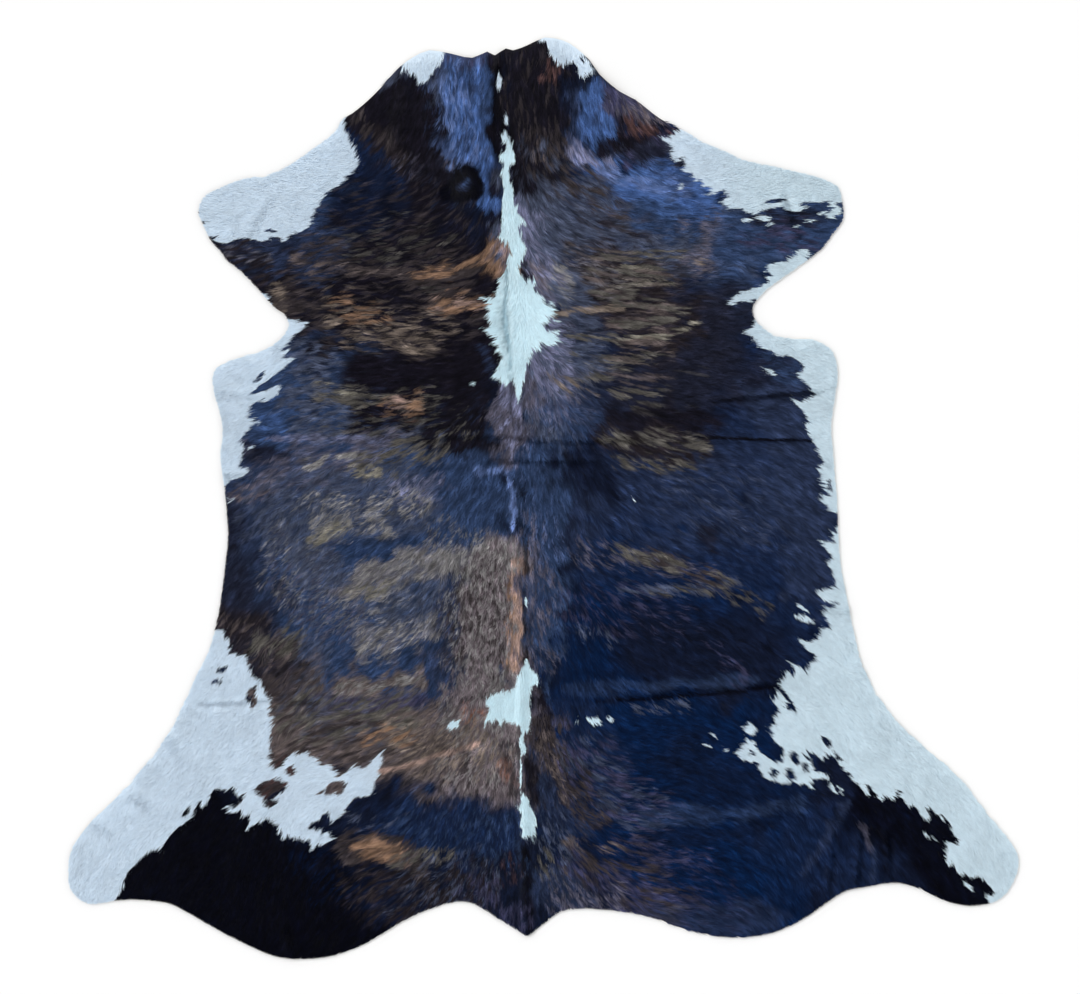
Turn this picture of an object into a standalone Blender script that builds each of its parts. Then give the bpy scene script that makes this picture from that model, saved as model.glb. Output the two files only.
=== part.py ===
"""A cowhide rug: one whole tanned hide, hair side up, lying on a floor.

Metres, +Z up. The origin is on the floor, at the middle of the box round the hide. Seen from above, +Y points
to the neck and +X to the right foreleg.
"""

import math
from collections import namedtuple

import bmesh
import bpy
from mathutils import Vector
from mathutils.geometry import interpolate_bezier

CM = 0.01
MM = 0.001

# Thickness: tanned skin, and the short hair that lies flat on it.
SKIN = 2.0 * MM
COAT = 3.0 * MM
COAT_AT_EDGE = 1.5 * MM

# Fineness of the solid.
EDGE_STEP = 1.8 * CM
CELL = 6.0 * CM
NO_SLIVER = 1.5 * MM

# The cut edge, clockwise from the left of the neck, as a smooth curve through landmarks. Each is given in
# centimetres, across (to the right of the middle) and along (towards the neck).
Landmark = namedtuple("Landmark", "across along")
EDGE = {
    "neck, left": [
        (-38.6, 87.5), (-36.0, 90.1), (-31.6, 94.9), (-27.2, 97.8), (-25.0, 98.5), (-20.6, 97.8),
        (-15.7, 96.8), (-12.4, 98.2), (-10.7, 97.4), (-8.3, 98.9), (-6.7, 98.5),
    ],
    "neck, right": [
        (-3.6, 99.6), (0.3, 101.3), (2.5, 101.1), (5.8, 100.0), (10.2, 96.3), (12.4, 93.0),
        (16.8, 89.3), (20.2, 87.6), (25.6, 83.5), (30.0, 81.1),
    ],
    "right foreleg, front": [
        (35.1, 78.0), (39.9, 76.0), (44.3, 74.0), (52.7, 72.2), (60.2, 70.3), (64.6, 68.3),
        (65.5, 65.5), (65.8, 61.2),
    ],
    "right foreleg, back": [
        (63.5, 58.0), (61.3, 54.9), (55.8, 50.7), (49.4, 46.1), (47.0, 43.7), (45.7, 41.7),
        (46.3, 39.1), (48.3, 37.1), (51.2, 35.3), (54.2, 34.9), (58.2, 35.0),
    ],
    "right flank": [
        (61.3, 33.8), (63.5, 32.0), (64.6, 27.5), (64.1, 22.8), (63.1, 15.5), (63.5, 10.5),
        (64.4, -0.6), (65.0, -12.7), (66.6, -22.1), (69.6, -35.8), (71.4, -39.9), (73.6, -43.9),
        (79.1, -50.9),
    ],
    "right hind leg": [
        (83.9, -54.9), (91.0, -61.1), (94.9, -66.1), (101.5, -74.3), (103.5, -77.1), (104.4, -80.6),
        (102.6, -85.7), (100.4, -88.1), (97.8, -89.2), (93.8, -89.7), (90.5, -89.2), (87.2, -88.1),
        (82.8, -85.9), (79.5, -84.9), (76.2, -84.6),
    ],
    "rump, right": [
        (71.8, -85.4), (67.4, -86.1), (64.4, -87.5), (58.2, -91.9), (54.2, -94.1), (49.8, -95.8),
        (45.4, -96.5), (38.8, -96.5), (30.7, -94.9), (24.5, -92.5), (19.0, -91.2), (10.2, -90.3),
        (6.9, -90.4), (3.6, -91.0), (0.3, -93.4),
    ],
    "tail": [
        (-2.6, -95.7), (-3.4, -96.5), (-4.3, -96.0), (-8.5, -93.4), (-10.7, -92.1), (-14.0, -89.9),
        (-16.6, -88.9), (-19.5, -88.8),
    ],
    "rump, left": [
        (-22.8, -89.7), (-27.2, -91.2), (-31.6, -93.4), (-39.3, -98.0), (-43.7, -99.8), (-48.1, -101.0),
        (-52.5, -101.3), (-56.9, -101.2), (-61.3, -100.0), (-70.1, -95.8), (-78.9, -90.8), (-82.2, -89.2),
    ],
    "left hind leg": [
        (-85.5, -88.6), (-91.0, -88.3), (-95.4, -88.7), (-99.8, -89.4), (-102.0, -88.3), (-104.0, -85.9),
        (-104.4, -82.4), (-104.0, -78.7), (-102.9, -75.8), (-100.7, -72.5), (-93.8, -65.7), (-90.3, -62.2),
        (-84.4, -54.9), (-81.1, -49.6), (-75.6, -38.0), (-73.4, -33.6),
    ],
    "left flank": [
        (-71.2, -24.8), (-69.9, -15.0), (-69.3, -9.4), (-69.5, -3.9), (-70.0, 1.7), (-71.0, 9.8),
        (-70.4, 13.3), (-70.7, 17.1), (-72.3, 23.0), (-72.7, 25.9), (-72.3, 27.8), (-71.2, 29.2),
        (-64.6, 31.4), (-61.5, 32.2), (-58.6, 34.0), (-56.7, 36.0), (-55.7, 38.0),
    ],
    "left foreleg, back": [
        (-56.7, 40.2), (-59.3, 42.0), (-61.9, 45.0), (-66.8, 50.1), (-69.4, 52.0), (-71.2, 54.5),
        (-73.2, 56.7), (-74.9, 60.4),
    ],
    "left foreleg, front": [
        (-75.9, 62.5), (-74.7, 65.9), (-72.3, 67.4), (-65.7, 70.0), (-61.9, 70.5), (-56.9, 72.3),
        (-49.2, 77.6), (-45.2, 80.9), (-44.1, 83.5), (-42.1, 84.6),
    ],
}

# Folds and creases, each a ridge from start to end. Rise is its height in millimetres. The rest is in
# centimetres: start and end as above, reach is its half width, and each end dies away over its taper.
Fold = namedtuple("Fold", "name start end rise reach taper")
FOLDS = [
    Fold("spine, back", (-6.1, 9.0), (-4.7, -42.0), rise=5.0, reach=1.7, taper=10.0),
    Fold("spine, rump", (-5.1, -28.0), (-3.1, -101.0), rise=9.0, reach=2.3, taper=14.0),
    Fold("across the belly", (-67.0, 13.3), (61.0, 12.3), rise=4.0, reach=1.6, taper=12.0),
    Fold("across the back", (-16.2, 7.4), (14.4, 8.4), rise=3.0, reach=1.4, taper=6.0),
    Fold("right flank", (38.6, 21.7), (63.0, 23.0), rise=4.0, reach=1.5, taper=5.0),
    Fold("left loin", (-79.0, -45.0), (-45.0, -44.6), rise=4.0, reach=1.5, taper=7.0),
    Fold("right loin", (14.0, -44.4), (54.0, -40.4), rise=4.5, reach=1.8, taper=8.0),
    Fold("right rump", (20.0, -71.6), (56.0, -70.6), rise=7.0, reach=4.5, taper=8.0),
    Fold("neck, left of the spine", (-14.5, 58.0), (-18.5, 100.0), rise=12.0, reach=6.5, taper=10.0),
    Fold("neck to left shoulder", (-29.0, 92.0), (-35.0, 60.0), rise=6.0, reach=4.5, taper=8.0),
    Fold("neck to right shoulder", (8.5, 97.0), (36.0, 60.0), rise=10.0, reach=5.5, taper=9.0),
    Fold("across the right shoulder", (13.0, 69.0), (40.0, 64.0), rise=5.0, reach=3.0, taper=7.0),
    Fold("scallop in the neck", (-9.6, 92.0), (-9.2, 101.0), rise=4.0, reach=1.5, taper=3.0),
    Fold("left foreleg", (-66.0, 57.0), (-58.0, 67.0), rise=4.0, reach=2.0, taper=3.5),
    Fold("right foreleg", (56.0, 54.0), (52.5, 68.0), rise=4.0, reach=2.0, taper=4.0),
    Fold("left flank, upper", (-75.0, 22.5), (-60.0, 22.0), rise=5.0, reach=2.4, taper=5.0),
    Fold("left flank, lower", (-74.0, 4.6), (-60.5, 4.0), rise=5.0, reach=2.2, taper=5.0),
    Fold("right flank, lower", (58.0, -24.0), (70.0, -26.0), rise=4.0, reach=2.2, taper=4.0),
    Fold("left hind leg, thigh", (-84.0, -53.0), (-74.0, -56.5), rise=4.0, reach=1.8, taper=3.5),
    Fold("left hind leg, hock", (-92.5, -64.0), (-84.0, -69.0), rise=3.5, reach=1.6, taper=3.0),
    Fold("left hind leg, shank", (-101.5, -72.5), (-92.5, -77.0), rise=3.5, reach=1.6, taper=3.0),
    Fold("right hind leg, first gather", (64.0, -66.0), (63.0, -90.0), rise=5.0, reach=1.7, taper=7.0),
    Fold("right hind leg, second gather", (69.5, -69.0), (69.5, -88.0), rise=4.0, reach=1.5, taper=6.0),
    Fold("right hind leg, third gather", (75.0, -71.0), (77.0, -87.0), rise=3.5, reach=1.5, taper=5.0),
    Fold("left rump hem", (-57.0, -90.0), (-54.5, -103.0), rise=4.0, reach=2.5, taper=5.0),
]

# Where a fold is cut along its length, in shares of its reach.
FOLD_CUTS = (-1.0, -0.5, 0.0, 0.5, 1.0)


def place(across, along):
    return Vector((across * CM, along * CM, 0.0))


def edge_points():
    """The closed edge, read from curves whose tangents follow the landmarks on each side."""
    knots = [place(*Landmark(*row)) for rows in EDGE.values() for row in rows]
    tangents = []
    for index, knot in enumerate(knots):
        after = knots[(index + 1) % len(knots)]
        tangents.append((after - knots[index - 1]).normalized())
    points = []
    for index, knot in enumerate(knots):
        after = (index + 1) % len(knots)
        length = (knots[after] - knot).length
        leaving = knot + tangents[index] * length / 3
        arriving = knots[after] - tangents[after] * length / 3
        steps = max(1, round(length / EDGE_STEP))
        points.extend(interpolate_bezier(knot, leaving, arriving, knots[after], steps + 1)[:-1])
    return points


def smooth_step(share):
    share = min(max(share, 0.0), 1.0)
    return share * share * (3 - 2 * share)


def fold_height(fold, point):
    """How far this fold lifts the hide at a point."""
    start = place(*fold.start)
    run = place(*fold.end) - start
    length = run.length
    run.normalize()
    offset = point - start
    along = offset.dot(run)
    aside = abs(run.x * offset.y - run.y * offset.x) / (fold.reach * CM)
    if aside >= 1 or not 0 < along < length:
        return 0.0
    ends = smooth_step(min(along, length - along) / (fold.taper * CM))
    return fold.rise * MM * ends * (1 + math.cos(math.pi * aside)) / 2


def relief(point):
    return sum(fold_height(fold, point) for fold in FOLDS)


def cut(shape, faces, point, normal):
    """Splits these faces along an upright plane."""
    around = set(faces)
    for face in faces:
        around.update(face.edges)
        around.update(face.verts)
    bmesh.ops.bisect_plane(shape, geom=list(around), dist=NO_SLIVER, plane_co=point, plane_no=normal)


def cut_cells(shape, points):
    """Cuts the whole outline into square cells."""
    for axis in (Vector((1, 0, 0)), Vector((0, 1, 0))):
        reach = max(abs(point.dot(axis)) for point in points)
        count = math.floor(reach / CELL)
        for step in range(-count, count + 1):
            cut(shape, shape.faces, axis * (step * CELL), axis)


def cut_fold(shape, fold):
    """Cuts the cells that a fold crosses along its crest, its sides and its feet."""
    start = place(*fold.start)
    end = place(*fold.end)
    aside = (end - start).normalized().cross(Vector((0, 0, 1)))
    for share in FOLD_CUTS:
        line = start + aside * (share * fold.reach * CM)
        crossed = [face for face in shape.faces if any(fold_height(fold, spot) > 0 for spot in spots(face))]
        cut(shape, crossed, line, aside)


def spots(face):
    """A face's corners, the middles of its sides and its centre."""
    yield face.calc_center_median()
    for edge in face.edges:
        yield edge.verts[0].co
        yield (edge.verts[0].co + edge.verts[1].co) / 2


def make_hide():
    shape = bmesh.new()
    points = edge_points()
    shape.faces.new([shape.verts.new(point) for point in points])
    cut_cells(shape, points)
    for fold in FOLDS:
        cut_fold(shape, fold)
    bmesh.ops.triangulate(shape, faces=shape.faces)

    for vert in shape.verts:
        vert.co.z = relief(vert.co)
    at_edge = {vert.co.to_tuple(5) for vert in shape.verts if vert.is_boundary}
    raised = bmesh.ops.extrude_face_region(shape, geom=shape.faces)["geom"]
    for vert in raised:
        if isinstance(vert, bmesh.types.BMVert):
            vert.co.z += SKIN + (COAT_AT_EDGE if vert.co.to_tuple(5) in at_edge else COAT)
    bmesh.ops.recalc_face_normals(shape, faces=shape.faces)

    mesh = bpy.data.meshes.new("hide")
    shape.to_mesh(mesh)
    shape.free()
    mesh.shade_smooth()
    mesh.set_sharp_from_angle(angle=math.radians(40))
    hide = bpy.data.objects.new("hide", mesh)
    bpy.context.scene.collection.objects.link(hide)
    return hide


def hair_on_hide():
    material = bpy.data.materials.new("dark brown hair-on hide")
    material.use_nodes = True
    shader = material.node_tree.nodes["Principled BSDF"]
    shader.inputs["Base Color"].default_value = (0.020, 0.016, 0.018, 1.0)
    shader.inputs["Roughness"].default_value = 0.45
    shader.inputs["Metallic"].default_value = 0.0
    return material


def main():
    for old in list(bpy.data.objects):
        bpy.data.objects.remove(old)
    hide = make_hide()
    hide.data.materials.append(hair_on_hide())


main()
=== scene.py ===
import math

import bmesh
import bpy
import numpy as np
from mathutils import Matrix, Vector


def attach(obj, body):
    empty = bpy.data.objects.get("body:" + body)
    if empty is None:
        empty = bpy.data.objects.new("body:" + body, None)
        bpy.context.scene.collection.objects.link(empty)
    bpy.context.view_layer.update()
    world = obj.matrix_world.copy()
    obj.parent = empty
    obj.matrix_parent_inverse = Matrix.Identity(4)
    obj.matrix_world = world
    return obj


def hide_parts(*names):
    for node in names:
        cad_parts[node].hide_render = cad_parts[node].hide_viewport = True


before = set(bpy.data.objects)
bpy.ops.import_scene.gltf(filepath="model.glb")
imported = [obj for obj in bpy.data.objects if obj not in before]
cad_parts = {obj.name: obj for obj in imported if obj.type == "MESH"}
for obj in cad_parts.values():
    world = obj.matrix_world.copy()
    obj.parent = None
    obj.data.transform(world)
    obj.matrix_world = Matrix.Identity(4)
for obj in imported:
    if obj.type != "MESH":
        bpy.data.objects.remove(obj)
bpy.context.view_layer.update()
cm = 0.01
mm = 0.001
chance = np.random.default_rng(7)
print("stage: frame loaded")


# Shader maths on sockets: an expression on wires adds its Math nodes.
class Wire:
    def __init__(self, tree, socket=None):
        self.tree = tree
        self.socket = socket

    def make(self, kind, settings=None, inputs=None, output=0):
        node = self.tree.nodes.new(kind)
        for name, value in (settings or {}).items():
            if name == "stops":
                self.setStops(node.color_ramp, value)
            else:
                setattr(node, name, value)
        for name, value in (inputs or {}).items():
            if isinstance(value, Wire):
                self.tree.links.new(value.socket, node.inputs[name])
            else:
                node.inputs[name].default_value = value
        return Wire(self.tree, node.outputs[output])

    def setStops(self, ramp, stops):
        while len(ramp.elements) < len(stops):
            ramp.elements.new(1.0)
        for element, (position, colour) in zip(ramp.elements, stops):
            element.position = position
            element.color = colour

    def maths(self, operation, first, second):
        return self.make("ShaderNodeMath", {"operation": operation}, {0: first, 1: second})

    def __add__(self, other):
        return self.maths("ADD", self, other)

    def __sub__(self, other):
        return self.maths("SUBTRACT", self, other)

    def __rsub__(self, other):
        return self.maths("SUBTRACT", other, self)

    def __mul__(self, other):
        return self.maths("MULTIPLY", self, other)

    __radd__ = __add__
    __rmul__ = __mul__


def newMaterial(name, constants):
    material = bpy.data.materials.new(name)
    material.use_nodes = True
    shader = material.node_tree.nodes["Principled BSDF"]
    for socket, value in constants.items():
        shader.inputs[socket].default_value = value
    return material, shader, Wire(material.node_tree)


def joinTo(shader, socket, wire):
    wire.tree.links.new(wire.socket, shader.inputs[socket])


def placed(name, mesh):
    piece = bpy.data.objects.new(name, mesh)
    bpy.context.scene.collection.objects.link(piece)
    return piece


# The lie of the hide: its outline, its creases and the way its hair is combed.
hide = {
    "skin": 2.0 * mm,  # thickness of the tanned skin
    "inset": 1.5 * mm,  # of the skin's edge, so that the hair covers it
    "squares": 10 * mm,  # that its surface is cut into
    "waver": (2.5 * mm, 90 * mm),  # how far creases wander to either side, and over what length
    "unevenness": (1.0 * mm, 60 * mm),  # how high the skin lies off flat, and over what length
    # The skin is darker than the hair over it: painted shade between the locks, most under dark hair.
    "underHairShade": (0.95, 0.6),  # share of the hair's colour that the skin has under white and under dark hair
    "pitch": 2.5 * mm,  # of the grid that the fields below are worked out on
    "margin": 30 * mm,  # of that grid, round the hide
    "weld": 0.01 * mm,
    "cut": (2.09, 2.03),  # its flat size in metres
    "flatArea": 2.62,  # square metres
}

# Seeds of the noise: other numbers give another hide of the same markings.
seeds = {
    "waver": (31, 32), "unevenness": 33, "strands": 11, "shade": 17, "drift": (18, 20), "clouds": (14, 15),
    "border": 19, "tufts": 16, "hairs": 21,
}

# Creases as ridges: start and end in centimetres across and along, rise in millimetres, then half the width
# and the length of the tapered ends in centimetres.
creases = [
    ("spine, withers", (-8.5, 58.0), (-6.3, 10.0), 4.0, 0.9, 8.0),
    ("spine, back", (-6.1, 9.0), (-4.7, -42.0), 5.0, 1.7, 10.0),
    ("spine, rump", (-5.1, -28.0), (-3.1, -101.0), 9.0, 2.3, 14.0),
    ("across the belly", (-67.0, 13.3), (61.0, 12.3), 4.0, 1.6, 12.0),
    ("across the back", (-16.2, 7.4), (14.4, 8.4), 3.0, 1.4, 6.0),
    ("right flank", (38.6, 21.7), (63.0, 23.0), 4.0, 1.5, 5.0),
    ("left loin", (-79.0, -44.8), (-45.0, -44.6), 1.2, 1.0, 9.0),
    ("right loin", (14.0, -44.4), (54.0, -40.4), 4.5, 1.8, 8.0),
    ("right rump", (20.0, -71.6), (56.0, -70.6), 7.0, 4.5, 8.0),
    ("neck, left of the spine", (-14.5, 58.0), (-18.5, 100.0), 12.0, 6.5, 10.0),
    ("neck to left shoulder", (-29.0, 92.0), (-35.0, 60.0), 6.0, 4.5, 8.0),
    ("neck to right shoulder", (8.5, 97.0), (36.0, 60.0), 10.0, 5.5, 9.0),
    ("across the right shoulder", (13.0, 69.0), (40.0, 64.0), 5.0, 3.0, 7.0),
    ("scallop in the neck", (-9.6, 92.0), (-9.2, 101.0), 4.0, 1.5, 3.0),
    ("left foreleg", (-66.0, 57.0), (-58.0, 67.0), 1.2, 2.4, 4.5),
    ("right foreleg", (56.0, 54.0), (52.5, 68.0), 2.4, 2.0, 4.0),
    ("left flank, upper", (-75.0, 22.5), (-60.0, 22.0), 1.5, 2.4, 5.0),
    ("left flank, lower", (-74.0, 4.6), (-60.5, 4.0), 2.5, 2.2, 5.0),
    ("right flank, lower", (58.0, -24.0), (70.0, -26.0), 4.0, 2.2, 4.0),
    ("left hind leg, thigh", (-85.0, -51.0), (-79.0, -56.0), 1.2, 2.6, 4.0),
    ("left hind leg, hock", (-93.0, -64.5), (-85.0, -68.5), 1.5, 2.8, 4.5),
    ("left hind leg, shank", (-102.0, -71.0), (-92.5, -74.5), 1.3, 3.0, 5.0),
    ("right hind leg, first gather", (64.0, -66.0), (63.0, -90.0), 5.0, 1.7, 7.0),
    ("right hind leg, second gather", (69.5, -69.0), (69.5, -88.0), 4.0, 1.5, 6.0),
    ("right hind leg, third gather", (75.0, -71.0), (77.0, -87.0), 3.5, 1.5, 5.0),
    ("left rump hem", (-57.0, -90.0), (-54.5, -103.0), 4.0, 2.5, 5.0),
]

# Where the hair points: centimetres across and along, and degrees turned from the right foreleg's side.
combing = {
    "neck": [(-33, 86, -112), (-17, 85, -93), (-4, 88, -90), (11, 85, -82), (24, 78, -55), (-30, 76, -125)],
    "left shoulder": [(-42, 62, -165), (-28, 60, -165), (-13, 66, -110), (-40, 50, -172), (-26, 48, -168)],
    "left shoulder, low": [
        (-14, 53, -160), (-14, 42, -175), (-28, 38, -178), (-42, 38, -178), (-54, 44, -165),
    ],
    "left foreleg": [(-70, 63, 178), (-58, 63, -176), (-48, 70, -165), (-60, 52, -155)],
    "withers": [
        (-8, 62, -93), (-10, 40, -170), (0, 41, -8), (-5, 48, -92), (-5, 28, -90), (1, 62, -45),
        (1, 52, -30),
    ],
    "right shoulder": [
        (8, 62, -22), (8, 52, -12), (18, 52, -7), (30, 52, -5), (42, 54, -8), (20, 64, -16), (34, 64, -18),
    ],
    "right foreleg": [(60, 62, -4), (50, 56, -8), (55, 50, -25), (48, 72, 12), (32, 74, 30)],
    "left ribs": [
        (-60, 26, -155), (-45, 28, -176), (-30, 28, -178), (-16, 28, -172), (-46, 20, -172),
        (-30, 20, -170),
    ],
    "left barrel": [
        (-60, 6, -150), (-46, 4, -152), (-32, 4, -150), (-18, 4, -118), (-10, 14, -120), (-60, -10, -135),
    ],
    "left barrel, low": [(-46, -10, -148), (-32, -8, -150), (-18, -8, -112), (-10, -14, -98)],
    "right ribs": [
        (6, 30, -22), (8, 42, -6), (18, 42, -5), (30, 40, -6), (42, 38, -8), (16, 29, -8), (28, 28, -8),
        (44, 28, -12),
    ],
    "right ribs, low": [
        (56, 24, -20), (4, 16, -70), (16, 14, -30), (30, 12, -15), (46, 12, -25), (58, 8, -35),
    ],
    "right barrel": [
        (4, -2, -80), (16, -4, -48), (30, -6, -34), (46, -6, -36), (60, -16, -38), (4, -20, -75),
    ],
    "right barrel, low": [(14, -16, -24), (24, -16, -16), (34, -18, -20), (46, -22, -34)],
    "left loin": [(-60, -28, -130), (-46, -20, -145), (-32, -18, -148), (-18, -22, -102), (-46, -36, -142)],
    "left loin, low": [(-32, -34, -148), (-18, -38, -106), (-62, -44, -130)],
    "right loin": [(6, -34, -66), (20, -34, -36), (36, -36, -34), (52, -38, -40)],
    "spine, hind": [(-10, -44, -105), (-4, -56, -92), (-4, -70, -90), (1, -50, -78), (-8, -84, -92)],
    "left rump": [(-72, -46, -125), (-56, -54, -150), (-42, -52, -158), (-28, -54, -160), (-15, -56, -130)],
    "left rump, low": [
        (-20, -68, -105), (-36, -68, -130), (-36, -78, -172), (-22, -82, -130), (-58, -84, -112),
    ],
    "left hind leg": [
        (-82, -62, -132), (-94, -76, -125), (-98, -84, -118), (-80, -80, -128), (-42, -90, -130),
    ],
    "right rump": [(3, -60, -70), (10, -60, -16), (20, -62, -4), (36, -62, -20), (50, -62, -40)],
    "right rump, low": [
        (3, -76, -68), (12, -76, -18), (24, -78, -6), (40, -80, -22), (10, -88, -60), (54, -80, -55),
    ],
    "right hind leg": [
        (62, -58, -42), (78, -62, -44), (92, -72, -50), (98, -82, -55), (66, -78, -60), (80, -78, -50),
    ],
}
comb = {"reach": 6.5 * cm, "far": 1e-9}  # how far a stroke counts, and how faintly it does beyond

# A curl in the neck's hair: across, along and reach in centimetres, degrees, and share of the hair cut off.
whorl = {"place": (-17.4, 69.2, 4.5), "turn": 100, "shorter": 0.5}


def outlineOf(node):
    # The underside's rim on the solid, as ordered points.
    shape = bmesh.new()
    shape.from_mesh(node.data)
    bmesh.ops.remove_doubles(shape, verts=shape.verts, dist=hide["weld"])
    down = {face for face in shape.faces if face.normal.z < -0.5}
    ring = [edge for edge in shape.edges if len(down.intersection(edge.link_faces)) == 1]
    onwards = {}
    for edge in ring:
        for vert in edge.verts:
            onwards.setdefault(vert, []).append(edge.other_vert(vert))
    first = ring[0].verts[0]
    ordered = [first]
    before, now = first, onwards[first][0]
    while now is not first:
        ordered.append(now)
        before, now = now, next(vert for vert in onwards[now] if vert is not before)
    points = np.array([vert.co.xy for vert in ordered])
    shape.free()
    after = np.roll(points, -1, axis=0)
    clockwise = np.sum(points[:, 0] * after[:, 1] - after[:, 0] * points[:, 1]) < 0
    return points[::-1] if clockwise else points


outline = outlineOf(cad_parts["hide"])
hideLow = outline.min(0)
hideSize = np.ptp(outline, axis=0)
fieldLow = hideLow - hide["margin"]
fieldShape = np.ceil((hideSize + 2 * hide["margin"]) / hide["pitch"]).astype(int) + 1
gridLines = [low + np.arange(many) * hide["pitch"] for low, many in zip(fieldLow, fieldShape)]
fieldX, fieldY = np.meshgrid(*gridLines)


def smoothStep(share):
    share = np.clip(share, 0, 1)
    return share * share * (3 - 2 * share)


def nearness(x, y, place, start):
    # Falls with the distance from a place: across, along and reach in centimetres.
    across, along, reach = place
    return smoothStep(start - np.hypot(x - across * cm, y - along * cm) / (reach * cm))


def between(grid, column, row, u, v):
    # The value between four neighbours of a grid.
    bottom = grid[row, column] * (1 - u) + grid[row, column + 1] * u
    top = grid[row + 1, column] * (1 - u) + grid[row + 1, column + 1] * u
    return bottom * (1 - v) + top * v


def readField(field, x, y, every=1):
    # Value of a field at any places. A coarse field holds every so many points of the grid.
    column = np.clip((x - fieldLow[0]) / (hide["pitch"] * every), 0, field.shape[1] - 1.001)
    row = np.clip((y - fieldLow[1]) / (hide["pitch"] * every), 0, field.shape[0] - 1.001)
    left = column.astype(int)
    low = row.astype(int)
    return between(field, left, low, column - left, row - low)


def alongSegment(x, y, start, end):
    # How far points lie along and beside a segment, and its length.
    run = np.subtract(end, start)
    length = math.hypot(*run)
    run = run / length
    along = (x - start[0]) * run[0] + (y - start[1]) * run[1]
    beside = (y - start[1]) * run[0] - (x - start[0]) * run[1]
    return along, beside, length


def pathDistance(x, y, path):
    nearest = np.full(x.shape, np.inf)
    for start, end in zip(path, path[1:]):
        along, beside, length = alongSegment(x, y, start, end)
        past = along - np.clip(along, 0, length)
        np.minimum(nearest, past * past + beside * beside, out=nearest)
    return np.sqrt(nearest)


def isInside(x, y, points):
    # Counts how often a line from each place crosses the outline, within its box.
    low, high = points.min(0), points.max(0)
    near = (x > low[0]) & (x < high[0]) & (y > low[1]) & (y < high[1])
    nearX, nearY = x[near], y[near]
    inside = np.zeros(nearX.shape, bool)
    for start, end in zip(points, np.roll(points, -1, axis=0)):
        if start[1] != end[1]:
            crosses = (start[1] > nearY) != (end[1] > nearY)
            slope = (end[0] - start[0]) / (end[1] - start[1])
            inside ^= crosses & (nearX < start[0] + (nearY - start[1]) * slope)
    found = np.zeros(x.shape, bool)
    found[near] = inside
    return found


def softNoise(size, seed):
    # Smooth noise of a wavelength in metres, about 0 with unit spread.
    cells = (fieldShape * hide["pitch"] / size).astype(int) + 2
    lattice = np.random.default_rng(seed).standard_normal((cells[1], cells[0]))
    column = (fieldX - fieldLow[0]) / size
    row = (fieldY - fieldLow[1]) / size
    left = column.astype(int)
    low = row.astype(int)
    made = between(lattice, left, low, smoothStep(column - left), smoothStep(row - low))
    return (made - made.mean()) / made.std()


def combField():
    # Unit vectors along the hair: the nearest strokes count most.
    flowX = np.zeros_like(fieldX)
    flowY = np.zeros_like(fieldX)
    for strokes in combing.values():
        for across, along, degrees in strokes:
            gap = (fieldX - across * cm) ** 2 + (fieldY - along * cm) ** 2
            weight = np.exp(-gap / (2 * comb["reach"]**2)) + comb["far"] / (gap + comb["reach"]**2)
            flowX += weight * math.cos(math.radians(degrees))
            flowY += weight * math.sin(math.radians(degrees))
    angle = np.arctan2(flowY, flowX)
    angle += nearness(fieldX, fieldY, whorl["place"], 1) * math.radians(whorl["turn"])
    return np.cos(angle), np.sin(angle)


def creaseRelief():
    # Creases that waver, on a skin that is never quite flat.
    aside, size = hide["waver"]
    x = fieldX + aside * softNoise(size, seeds["waver"][0])
    y = fieldY + aside * softNoise(size, seeds["waver"][1])
    high, size = hide["unevenness"]
    height = high * smoothStep(0.4 + 0.4 * softNoise(size, seeds["unevenness"]))
    for _, start, end, rise, reach, taper in creases:
        along, beside, length = alongSegment(x, y, np.multiply(start, cm), np.multiply(end, cm))
        share = np.clip(np.abs(beside) / (reach * cm), 0, 1)
        ends = smoothStep(np.minimum(along, length - along) / (taper * cm))
        height += rise * mm * ends * (1 + np.cos(np.pi * share)) / 2
    return height


combX, combY = combField()
reliefField = creaseRelief()
coarse = 3  # the distance to the edge is smooth, so every third grid point is enough
coarseX, coarseY = fieldX[::coarse, ::coarse], fieldY[::coarse, ::coarse]
edgeField = pathDistance(coarseX, coarseY, np.vstack([outline, outline[:1]]))
edgeField *= np.where(isInside(coarseX, coarseY, outline), 1, -1)  # positive on the hide


def combedNoise(noise, steps):
    # The noise drawn out along the hair, so that it reads as strands.
    total = noise.copy()
    weights = 1.0
    rows, columns = noise.shape
    for way in (1, -1):
        nearColumn, nearRow = np.meshgrid(np.arange(columns), np.arange(rows))
        column, row = nearColumn.astype(float), nearRow.astype(float)
        for step in range(1, steps + 1):
            column += way * combX[nearRow, nearColumn]
            row += way * combY[nearRow, nearColumn]
            nearColumn = np.clip(column.round().astype(int), 0, columns - 1)
            nearRow = np.clip(row.round().astype(int), 0, rows - 1)
            weight = 0.5 + 0.5 * math.cos(math.pi * step / (steps + 1))
            total += weight * noise[nearRow, nearColumn]
            weights += weight
    total /= weights
    return (total - total.mean()) / total.std()


def drawnOut(size, steps, fineness, seed):
    # Soft noise of this width, drawn out along the hair, with finer strands in it.
    fine = combedNoise(np.random.default_rng(seed).standard_normal(fieldX.shape), 5)
    made = combedNoise(softNoise(size, seed + 50), steps) + fineness * fine
    return made / made.std()


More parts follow.
